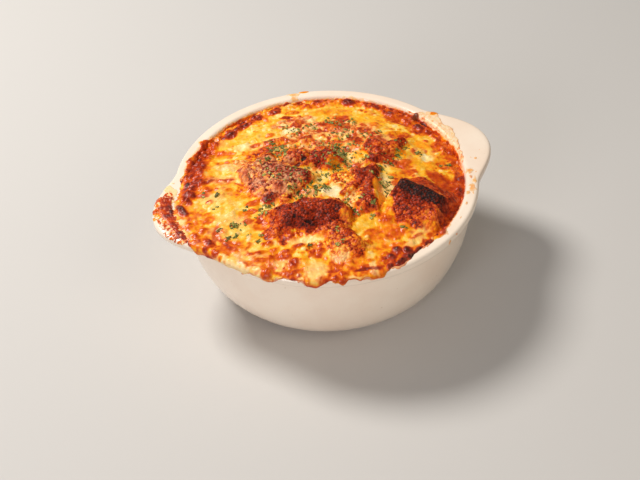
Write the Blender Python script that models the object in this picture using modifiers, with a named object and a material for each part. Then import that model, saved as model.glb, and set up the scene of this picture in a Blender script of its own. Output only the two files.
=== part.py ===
"""French onion soup in a round stoneware bowl with two lug handles.

The bowl stands on its foot ring at z = 0, centred on the Z axis, with its lugs
along X. The soup fills it from wall to wall and is closed by a baked cheese top
that has run over the rim on one side. Six pieces of toast stand proud of the
cheese. Metres, +Z up.
"""
import math

import bmesh
import bpy
from mathutils import Matrix, Vector

MM = 0.001

# ---- driving sizes, in millimetres -------------------------------------------------
RIM_R = 68.0          # outer radius of the rim band
RIM_Z = 50.5          # height of the rim
BAND = 3.9            # height of the rim band
MOUTH_R = 62.0        # inner radius at the rim
WALL_R = 65.2         # outer radius of the wall just under the band
FOOT_R = 41.0         # outer radius of the foot ring
FOOT_IN_R = 34.0      # inner radius of the foot ring
FOOT_H = 1.2          # height of the foot ring
FLOOR_Z = 6.0         # height of the inside floor
LUG_OUT = 11.2        # how far a lug reaches past the rim band
LUG_HALF = math.radians(27.0)   # half the angle that a lug's root spans
GAP = 0.3             # clearance between pieces that touch

CHEESE_CREST = 52.6   # height of the cheese in the middle
CHEESE_EDGE = 47.8    # height of its edge where it sits inside the rim ...
EDGE_DIP = 1.2        # ... and how much lower that is towards ...
DIP_AT = math.radians(-15.0)    # ... this side
SPILL_FROM = math.radians(168.0)    # the run-over goes from here ...
SPILL_TO = math.radians(276.0)      # ... to here, anticlockwise seen from above
SPILL_OUT = 4.9       # how far it covers the rim
SPILL_LUG = 8.2       # how much further it runs out on the lug at -X
SPILL_THICK = 1.0

BOWL_STEPS = 84
SOUP_STEPS = 60
INSIDE_POINTS = 6     # points of the curved wall, inside
OUTSIDE_POINTS = 7    # and outside

# name: centre x, y, length, width, turn of the length from +X in degrees, top, rise of
# the top along the length and across it, height of its crown, how much wider the far
# end is, how much longer the left side is
TOASTS = {
    "toast_charred": (30.4, -34.2, 27.0, 24.5, -50.0, 59.8, -0.4, -0.6, 3.6, 0.0, 0.0),
    "toast_front": (-19.5, -28.0, 39.0, 24.5, -35.0, 58.4, -1.8, 1.0, 2.0, 0.2, -0.2),
    "toast_middle": (9.5, -15.0, 35.0, 14.5, -110.0, 57.6, -1.0, 1.2, 1.6, -0.2, 0.0),
    "toast_left": (-23.5, 9.5, 33.0, 25.5, -70.0, 58.0, 0.4, 0.4, 1.8, -0.05, 0.0),
    "toast_centre": (0.6, 13.4, 19.0, 15.5, -35.0, 58.2, 0.6, -0.3, 1.8, 0.0, 0.0),
    "toast_back": (32.0, 8.0, 27.0, 20.0, -15.0, 57.0, -0.5, -0.2, 1.6, -0.1, 0.0),
}
TOAST_DEPTH = 14.0    # thickness of the toast
TOAST_CELLS = (3, 2, 2)   # cells of its cage along, across and down


def ramp(x, a, b):
    """0 below a, 1 above b, smooth between."""
    t = max(0.0, min(1.0, (x - a) / (b - a)))
    return t * t * (3.0 - 2.0 * t)


def mix(a, b, t):
    return a + (b - a) * t


def lug(angle):
    """Reach of the lugs past the rim band: one at +X and one at -X."""
    off = (angle + math.pi / 2) % math.pi - math.pi / 2
    t = min(1.0, abs(off) / LUG_HALF)
    return LUG_OUT * (1.0 - t * t) ** 2


def quarter(r0, r1, z0, z1, n, power):
    """Points of a quarter superellipse that leaves (r0, z0) flat and reaches (r1, z1) upright."""
    out = []
    for i in range(n + 1):
        a = math.pi / 2 * i / n
        s, c = math.sin(a) ** (2 / power), max(0.0, math.cos(a)) ** (2 / power)
        out.append((r0 + (r1 - r0) * s, z0 + (z1 - z0) * (1 - c)))
    return out


def collection(name):
    c = bpy.data.collections.new(name)
    bpy.context.scene.collection.children.link(c)
    return c


def material(name, colour, roughness, metallic=0.0):
    m = bpy.data.materials.new(name)
    m.use_nodes = True
    b = m.node_tree.nodes["Principled BSDF"]
    b.inputs["Base Color"].default_value = (*colour, 1.0)
    b.inputs["Roughness"].default_value = roughness
    b.inputs["Metallic"].default_value = metallic
    return m


def turned(name, profile, steps):
    """A closed body of revolution: the profile in millimetres, turned about Z by a Screw modifier and made a mesh."""
    mesh = bpy.data.meshes.new(name + "_profile")
    points = [(r * MM, 0.0, z * MM) for r, z in profile]
    mesh.from_pydata(points, [(i, i + 1) for i in range(len(points) - 1)], [])
    o = bpy.data.objects.new(name + "_profile", mesh)
    bpy.context.scene.collection.objects.link(o)
    s = o.modifiers.new("turn", "SCREW")
    s.axis, s.angle, s.screw_offset = "Z", 2 * math.pi, 0.0
    s.steps = s.render_steps = steps
    s.use_merge_vertices, s.merge_threshold = True, 0.00001
    s.use_smooth_shade = True
    bpy.context.view_layer.update()
    made = bpy.data.meshes.new_from_object(o.evaluated_get(bpy.context.evaluated_depsgraph_get()))
    made.name = name
    bpy.data.objects.remove(o)
    bpy.data.meshes.remove(mesh)
    return made


def link(name, mesh, mat, where):
    o = bpy.data.objects.new(name, mesh)
    where.objects.link(o)
    mesh.materials.clear()
    mesh.materials.append(mat)
    return o


# ---- the bowl ----------------------------------------------------------------------
def bowl_inside():
    """The inner wall, from the middle of the floor to the mouth."""
    return [(0.0, FLOOR_Z - 0.3)] + quarter(33.0, MOUTH_R - 0.5, FLOOR_Z, RIM_Z - 5.0, INSIDE_POINTS, 2.15)


def bowl_profile():
    top = RIM_Z
    inside = bowl_inside() + [
        (MOUTH_R, top - 1.6),
        (MOUTH_R + 0.7, top - 0.3),
        (MOUTH_R + 2.0, top),
        (RIM_R - 1.9, top),
        (RIM_R - 0.7, top - 0.5),
        (RIM_R, top - 1.7),
        (RIM_R - 0.2, top - BAND + 0.8),
        (RIM_R - 1.0, top - BAND),
        (WALL_R + 0.6, top - BAND - 0.3),
    ]
    wall = quarter(FOOT_R + 0.5, WALL_R, FOOT_H, top - BAND - 1.6, OUTSIDE_POINTS, 2.1)
    foot = [
        (FOOT_R, 0.4),
        (FOOT_R - 0.5, 0.0),
        (FOOT_IN_R + 0.5, 0.0),
        (FOOT_IN_R, 0.4),
        (FOOT_IN_R - 0.8, 1.5),
        (0.0, 1.5),
    ]
    return inside + wall[::-1] + foot


def bowl(where):
    mesh = turned("bowl", bowl_profile(), BOWL_STEPS)
    for v in mesh.vertices:
        r, z = math.hypot(v.co.x, v.co.y) / MM, v.co.z / MM
        if z < RIM_Z - BAND - 1.0 or r < MOUTH_R + 1.0:
            continue
        angle = math.atan2(v.co.y, v.co.x)
        upper = z > RIM_Z - BAND + 0.2
        share = ramp(r, MOUTH_R + 1.0, RIM_R - 0.8) if upper else ramp(r, WALL_R + 0.1, RIM_R - 0.9)
        grown = (r + lug(angle) * share) / r
        v.co.x *= grown
        v.co.y *= grown
    return link("bowl", mesh, material("stoneware", (0.82, 0.74, 0.64), 0.28), where)


# ---- the soup and its cheese top ---------------------------------------------------
def spill(angle):
    """How far the cheese has run over the rim at this angle: (share raised, reach in mm)."""
    a = angle % (2 * math.pi)
    edge = math.radians(9.0)
    raised = ramp(a, SPILL_FROM - edge, SPILL_FROM) * (1 - ramp(a, SPILL_TO, SPILL_TO + edge))
    out = ramp(a, SPILL_FROM, SPILL_FROM + edge) * (1 - ramp(a, SPILL_TO - edge, SPILL_TO))
    off = a - math.pi
    on_lug = SPILL_LUG * max(0.0, 1 - (off / (LUG_HALF * 0.85)) ** 2)
    return raised, out * SPILL_OUT + (on_lug if out > 0 else 0.0) * out


def cheese_edge(angle):
    """Height of the cheese's edge where it sits inside the rim."""
    return CHEESE_EDGE - EDGE_DIP * max(0.0, math.cos(angle - DIP_AT)) ** 2


def cheese_top(r, angle):
    """Height of the cheese away from the toast."""
    raised, _ = spill(angle)
    edge = mix(cheese_edge(angle), RIM_Z + SPILL_THICK, raised)
    crest = CHEESE_CREST + 0.7 * math.cos(2 * angle + 0.6) * (r / 62.0)
    return mix(crest, edge, min(1.0, r / 61.2) ** 2.6)


def soup(where):
    rings = [0.0, 9.0, 18.0, 27.0, 36.0, 44.0, 51.0, 57.0]
    wall = [(r - GAP, z) for r, z in bowl_inside()[1:] if z < RIM_Z - 8.0]
    clear = MOUTH_R - 0.5 - 2 * GAP
    # the lip: radius and drop from the edge where the cheese stays inside, then radius and height where it runs over the rim
    lip = [
        ((clear - 1.0, 0.0), (61.0, RIM_Z + SPILL_THICK)),
        ((clear, -0.3), (61.6, RIM_Z + SPILL_THICK + 0.2)),
        ((clear, -0.8), (61.8, RIM_Z + SPILL_THICK)),
        ((clear, -1.4), (61.8, RIM_Z + GAP)),
        ((clear, -2.2), (MOUTH_R - 2 * GAP, RIM_Z + GAP)),
    ]
    run = (0.0, 0.6, 0.97, 1.0, 0.0)      # share of the run-over's reach at each point
    floor = [(0.0, FLOOR_Z + GAP)]
    tall = RIM_Z + 20.0
    profile = [(r, tall) for r in rings]
    profile += [(60.0, tall - 1.0 - i) for i in range(len(lip))]
    profile += [(r, z + GAP) for r, z in wall[::-1]] + floor
    mesh = turned("soup", profile, SOUP_STEPS)
    for v in mesh.vertices:
        r, z, angle = math.hypot(v.co.x, v.co.y) / MM, v.co.z / MM, math.atan2(v.co.y, v.co.x)
        if z > tall - 0.5:
            v.co.z = cheese_top(r, angle) * MM
        elif z > RIM_Z + 10.0:
            i = round(tall - 1.0 - z)
            raised, reach = spill(angle)
            r = mix(lip[i][0][0], lip[i][1][0], raised) + reach * run[i]
            z = mix(cheese_edge(angle) + lip[i][0][1], lip[i][1][1], raised)
            v.co = Vector((r * math.cos(angle), r * math.sin(angle), z)) * MM
    return link("soup", mesh, material("baked_cheese", (0.85, 0.5, 0.16), 0.4), where)


# ---- the toast ---------------------------------------------------------------------
def toast_mesh(name, grow):
    """A block of toast: a coarse cage, crowned and uneven on top, with a Subdivision Surface."""
    x, y, length, width, turn, top, along, across, crown, flare, shear = TOASTS[name]
    index = list(TOASTS).index(name)
    cage = bmesh.new()
    bmesh.ops.create_cube(cage, size=2.0)
    for axis, cells in enumerate(TOAST_CELLS):
        edges = [e for e in cage.edges if abs((e.verts[1].co - e.verts[0].co)[axis]) > 1.0]
        bmesh.ops.subdivide_edges(cage, edges=edges, cuts=cells - 1, use_grid_fill=True)
    for v in cage.verts:
        u, w, d = v.co
        wave = 0.5 * math.sin(2.1 * u + 1.3 * w + 1.9 * index) + 0.4 * math.cos(2.9 * w - 1.7 * u + index)
        surface = top + along * u + across * w - crown * (w * w + 0.5 * u * u) + wave
        high = (1.0 + d) / 2.0
        v.co.x = u * (length / 2 * (1.0 + shear * w) * mix(1.0, 0.92, high) + grow)
        v.co.y = w * (width / 2 * (1.0 + flare * u) * mix(1.0, 0.88, high) + grow)
        v.co.z = mix(top - TOAST_DEPTH - grow, surface + grow, high)
    mesh = bpy.data.meshes.new(name + "_cage")
    cage.to_mesh(mesh)
    cage.free()
    mesh.transform(Matrix.Translation((x, y, 0.0)) @ Matrix.Rotation(math.radians(turn), 4, "Z"))
    mesh.transform(Matrix.Scale(MM, 4))
    o = bpy.data.objects.new(name + "_cage", mesh)
    bpy.context.scene.collection.objects.link(o)
    soften = o.modifiers.new("soften", "SUBSURF")
    soften.levels = soften.render_levels = 1
    bpy.context.view_layer.update()
    made = bpy.data.meshes.new_from_object(o.evaluated_get(bpy.context.evaluated_depsgraph_get()))
    made.name = name
    bpy.data.objects.remove(o)
    bpy.data.meshes.remove(mesh)
    made.shade_smooth()
    return made


def toast(where, cutters, body):
    crust = material("toast", (0.36, 0.11, 0.03), 0.6)
    for name in TOASTS:
        link(name, toast_mesh(name, 0.0), crust, where)
        cutter = link(name + "_cutter", toast_mesh(name, GAP * 1.4), crust, cutters)
        cutter.hide_render, cutter.display_type = True, "WIRE"
        cut = body.modifiers.new("seat_" + name, "BOOLEAN")
        cut.operation, cut.solver, cut.object = "DIFFERENCE", "EXACT", cutter


def main():
    for o in list(bpy.data.objects):
        bpy.data.objects.remove(o)
    model, cutters = collection("french_onion_soup"), collection("cutters")
    bowl(model)
    body = soup(model)
    toast(model, cutters, body)


main()
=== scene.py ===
import math

import bpy
import numpy as np
from mathutils import Matrix, Vector


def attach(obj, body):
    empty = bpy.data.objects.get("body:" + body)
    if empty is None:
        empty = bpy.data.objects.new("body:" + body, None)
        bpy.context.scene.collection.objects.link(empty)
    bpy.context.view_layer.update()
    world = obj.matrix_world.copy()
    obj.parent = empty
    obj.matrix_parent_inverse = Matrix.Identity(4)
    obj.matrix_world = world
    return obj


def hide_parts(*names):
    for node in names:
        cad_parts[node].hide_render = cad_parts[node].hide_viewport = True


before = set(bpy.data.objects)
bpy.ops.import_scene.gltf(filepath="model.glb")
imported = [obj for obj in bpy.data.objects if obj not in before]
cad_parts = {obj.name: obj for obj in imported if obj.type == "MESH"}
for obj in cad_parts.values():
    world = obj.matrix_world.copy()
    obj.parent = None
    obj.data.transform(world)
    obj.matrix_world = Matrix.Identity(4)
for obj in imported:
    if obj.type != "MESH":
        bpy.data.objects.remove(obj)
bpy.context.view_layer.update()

MM = 0.001

# =====================================================================================
# Sizes, in millimetres, as in the CAD model
# =====================================================================================
RIM_R, RIM_Z, BAND = 68.0, 50.5, 3.9
MOUTH_R, WALL_R = 62.0, 65.2
FOOT_R, FOOT_IN_R, FOOT_H = 41.0, 34.0, 1.2
FLOOR_Z = 6.0
LUG_OUT, LUG_HALF = 11.2, math.radians(27.0)
CREST, EDGE_Z, EDGE_DIP, DIP_AT = 52.4, 47.8, 1.2, math.radians(-15.0)
SPILL_THICK = 0.62    # cheese lying over the rim
SHOULDER = 1.7        # rounding of the rim's outer edge


# =====================================================================================
# Noise
# =====================================================================================
U = np.uint64


def _hash(ix, iy, iz, seed):
    n = (ix * U(73856093)) ^ (iy * U(19349663)) ^ (iz * U(83492791)) ^ U((seed * 2654435761) & 0xFFFFFFFF)
    n &= U(0xFFFFFFFF)
    n = ((n ^ (n >> U(15))) * U(2246822519)) & U(0xFFFFFFFF)
    n = ((n ^ (n >> U(13))) * U(3266489917)) & U(0xFFFFFFFF)
    return n ^ (n >> U(16))


def _unit(h):
    return h.astype(np.float64) / 4294967296.0


def _int(a):
    return a.astype(np.int64).astype(np.uint64)


def noise(P, size, seed, octaves=1, gain=0.5):
    """Gradient noise of about -1..1 at points P (N, 2 or 3) in mm; size is its wavelength."""
    total, amp, norm = 0.0, 1.0, 0.0
    for k in range(octaves):
        q = P / (size / 2.0 ** k)
        x, y = q[:, 0], q[:, 1]
        z = q[:, 2] if q.shape[1] == 3 else None
        x0, y0 = np.floor(x), np.floor(y)
        fx, fy = x - x0, y - y0
        ux, uy = fx ** 3 * (fx * (fx * 6 - 15) + 10), fy ** 3 * (fy * (fy * 6 - 15) + 10)
        out = 0.0
        if z is None:
            for dx in (0, 1):
                for dy in (0, 1):
                    h = _unit(_hash(_int(x0 + dx), _int(y0 + dy), U(7), seed + 31 * k)) * 2 * math.pi
                    g = np.cos(h) * (fx - dx) + np.sin(h) * (fy - dy)
                    out = out + g * (ux if dx else 1 - ux) * (uy if dy else 1 - uy)
            out = out * 1.55
        else:
            z0 = np.floor(z)
            fz = z - z0
            uz = fz ** 3 * (fz * (fz * 6 - 15) + 10)
            for dx in (0, 1):
                for dy in (0, 1):
                    for dz in (0, 1):
                        h = _hash(_int(x0 + dx), _int(y0 + dy), _int(z0 + dz), seed + 31 * k)
                        a = _unit(h) * 2 * math.pi
                        c = _unit(_hash(h, U(3), U(5), seed)) * 2 - 1
                        s = np.sqrt(1 - c * c)
                        g = s * np.cos(a) * (fx - dx) + s * np.sin(a) * (fy - dy) + c * (fz - dz)
                        out = out + g * (ux if dx else 1 - ux) * (uy if dy else 1 - uy) * (uz if dz else 1 - uz)
            out = out * 1.7
        total = total + amp * out
        norm += amp
        amp *= gain
    return total / norm


def cells(P, size, seed, jitter=0.9):
    """Distances, in cell sizes, to the nearest and the second nearest of scattered points, and the nearest one's number."""
    q = P / size
    dims = q.shape[1]
    base = np.floor(q)
    f1 = np.full(len(q), 9.0)
    f2 = np.full(len(q), 9.0)
    who = np.zeros(len(q))
    for dx in (-1, 0, 1):
        for dy in (-1, 0, 1):
            for dz in ((-1, 0, 1) if dims == 3 else (0,)):
                cx, cy = base[:, 0] + dx, base[:, 1] + dy
                cz = base[:, 2] + dz if dims == 3 else np.zeros(len(q))
                h = _hash(_int(cx), _int(cy), _int(cz), seed)
                h2 = _hash(h, U(11), U(13), seed + 1)
                h3 = _hash(h2, U(17), U(19), seed + 2)
                px = cx + 0.5 + (_unit(h) - 0.5) * jitter
                py = cy + 0.5 + (_unit(h2) - 0.5) * jitter
                d = (q[:, 0] - px) ** 2 + (q[:, 1] - py) ** 2
                if dims == 3:
                    d = d + (q[:, 2] - (cz + 0.5 + (_unit(h3) - 0.5) * jitter)) ** 2
                d = np.sqrt(d)
                near = d < f1
                f2 = np.where(near, f1, np.minimum(f2, d))
                who = np.where(near, _unit(_hash(h3, U(23), U(29), seed + 3)), who)
                f1 = np.where(near, d, f1)
    return f1, f2, who


def ramp(x, a, b):
    t = np.clip((x - a) / (b - a), 0.0, 1.0)
    return t * t * (3.0 - 2.0 * t)


def mix(a, b, t):
    return a + (b - a) * t


def smin(a, b, k):
    h = np.clip(0.5 + 0.5 * (b - a) / k, 0.0, 1.0)
    return mix(b, a, h) - k * h * (1.0 - h)


def smax(a, b, k):
    return -smin(-a, -b, k)

# =====================================================================================
# The cheese surface
# =====================================================================================
# Each toast is a few chunks. A chunk: centre, turn of its length from +X in degrees,
# height of its top, slope of the top along u and v, then for the four sides (+u, -u, +v, -v)
# how far the foot lies from the centre and how steep the side is.
CHUNKS = {
    "toast_charred": [
        ((33.4, -31.1), -50.0, 58.3, -0.13, 0.02, ((14.0, 2.0), (12.5, 3.0), (9.0, 0.80), (19.5, 0.55))),
        ((38.5, -28.0), -50.0, 55.0, -0.05, -0.05, ((13.0, 0.8), (11.0, 1.0), (7.0, 0.6), (8.0, 0.9))),
    ],
    "toast_front": [
        ((-17.0, -26.0), -15.0, 57.6, -0.02, 0.10, ((17.5, 1.3), (20.0, 0.70), (8.2, 1.7), (10.0, 0.85))),
        ((-9.8, -43.0), -68.0, 55.4, -0.06, 0.03, ((12.5, 0.9), (11.0, 1.0), (7.0, 1.1), (9.8, 0.62))),
    ],
    "toast_middle": [
        ((12.0, -20.0), -112.0, 56.6, -0.03, 0.05, ((15.5, 0.9), (14.0, 1.3), (5.4, 1.5), (5.6, 1.0))),
        ((14.8, -10.6), -20.0, 58.2, 0.0, 0.0, ((7.2, 1.4), (6.8, 1.2), (6.6, 1.2), (6.4, 1.2))),
        ((5.6, -14.4), 25.0, 55.8, 0.0, 0.0, ((7.0, 1.0), (7.0, 0.9), (3.6, 1.1), (3.8, 1.1))),
        ((5.2, -8.0), -10.0, 55.4, 0.0, 0.0, ((6.4, 0.9), (5.6, 0.8), (4.4, 0.9), (4.2, 0.9))),
    ],
    "toast_left": [
        ((-23.2, 6.0), -62.0, 56.0, 0.02, 0.02, ((16.5, 1.0), (16.5, 0.7), (12.0, 1.0), (12.5, 0.75))),
        ((-16.5, 4.2), -40.0, 57.6, 0.0, 0.0, ((12.5, 1.3), (12.0, 1.1), (5.2, 1.4), (5.6, 0.9))),
        ((-29.5, -2.0), -10.0, 55.4, 0.0, 0.0, ((6.5, 0.9), (6.0, 0.8), (5.5, 0.9), (5.5, 0.9))),
    ],
    "toast_centre": [
        ((-8.2, 14.6), -30.0, 57.0, 0.0, 0.0, ((8.0, 1.2), (7.5, 1.0), (6.4, 1.1), (6.4, 1.1))),
        ((2.2, 9.4), -55.0, 57.8, 0.0, 0.0, ((9.4, 1.2), (8.6, 1.2), (6.4, 1.2), (6.6, 1.1))),
    ],
    "toast_back": [
        ((36.2, 6.6), 20.0, 55.8, 0.0, 0.0, ((8.6, 0.8), (8.0, 0.9), (5.6, 0.9), (6.4, 0.8))),
        ((27.2, 7.4), 10.0, 56.6, 0.0, 0.0, ((5.6, 1.1), (5.6, 1.1), (7.2, 1.0), (7.6, 1.0))),
        ((24.6, -1.2), -10.0, 55.8, 0.0, 0.0, ((6.4, 1.0), (6.0, 1.0), (4.4, 1.1), (4.6, 1.0))),
    ],
}
TOASTS = list(CHUNKS)

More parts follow.
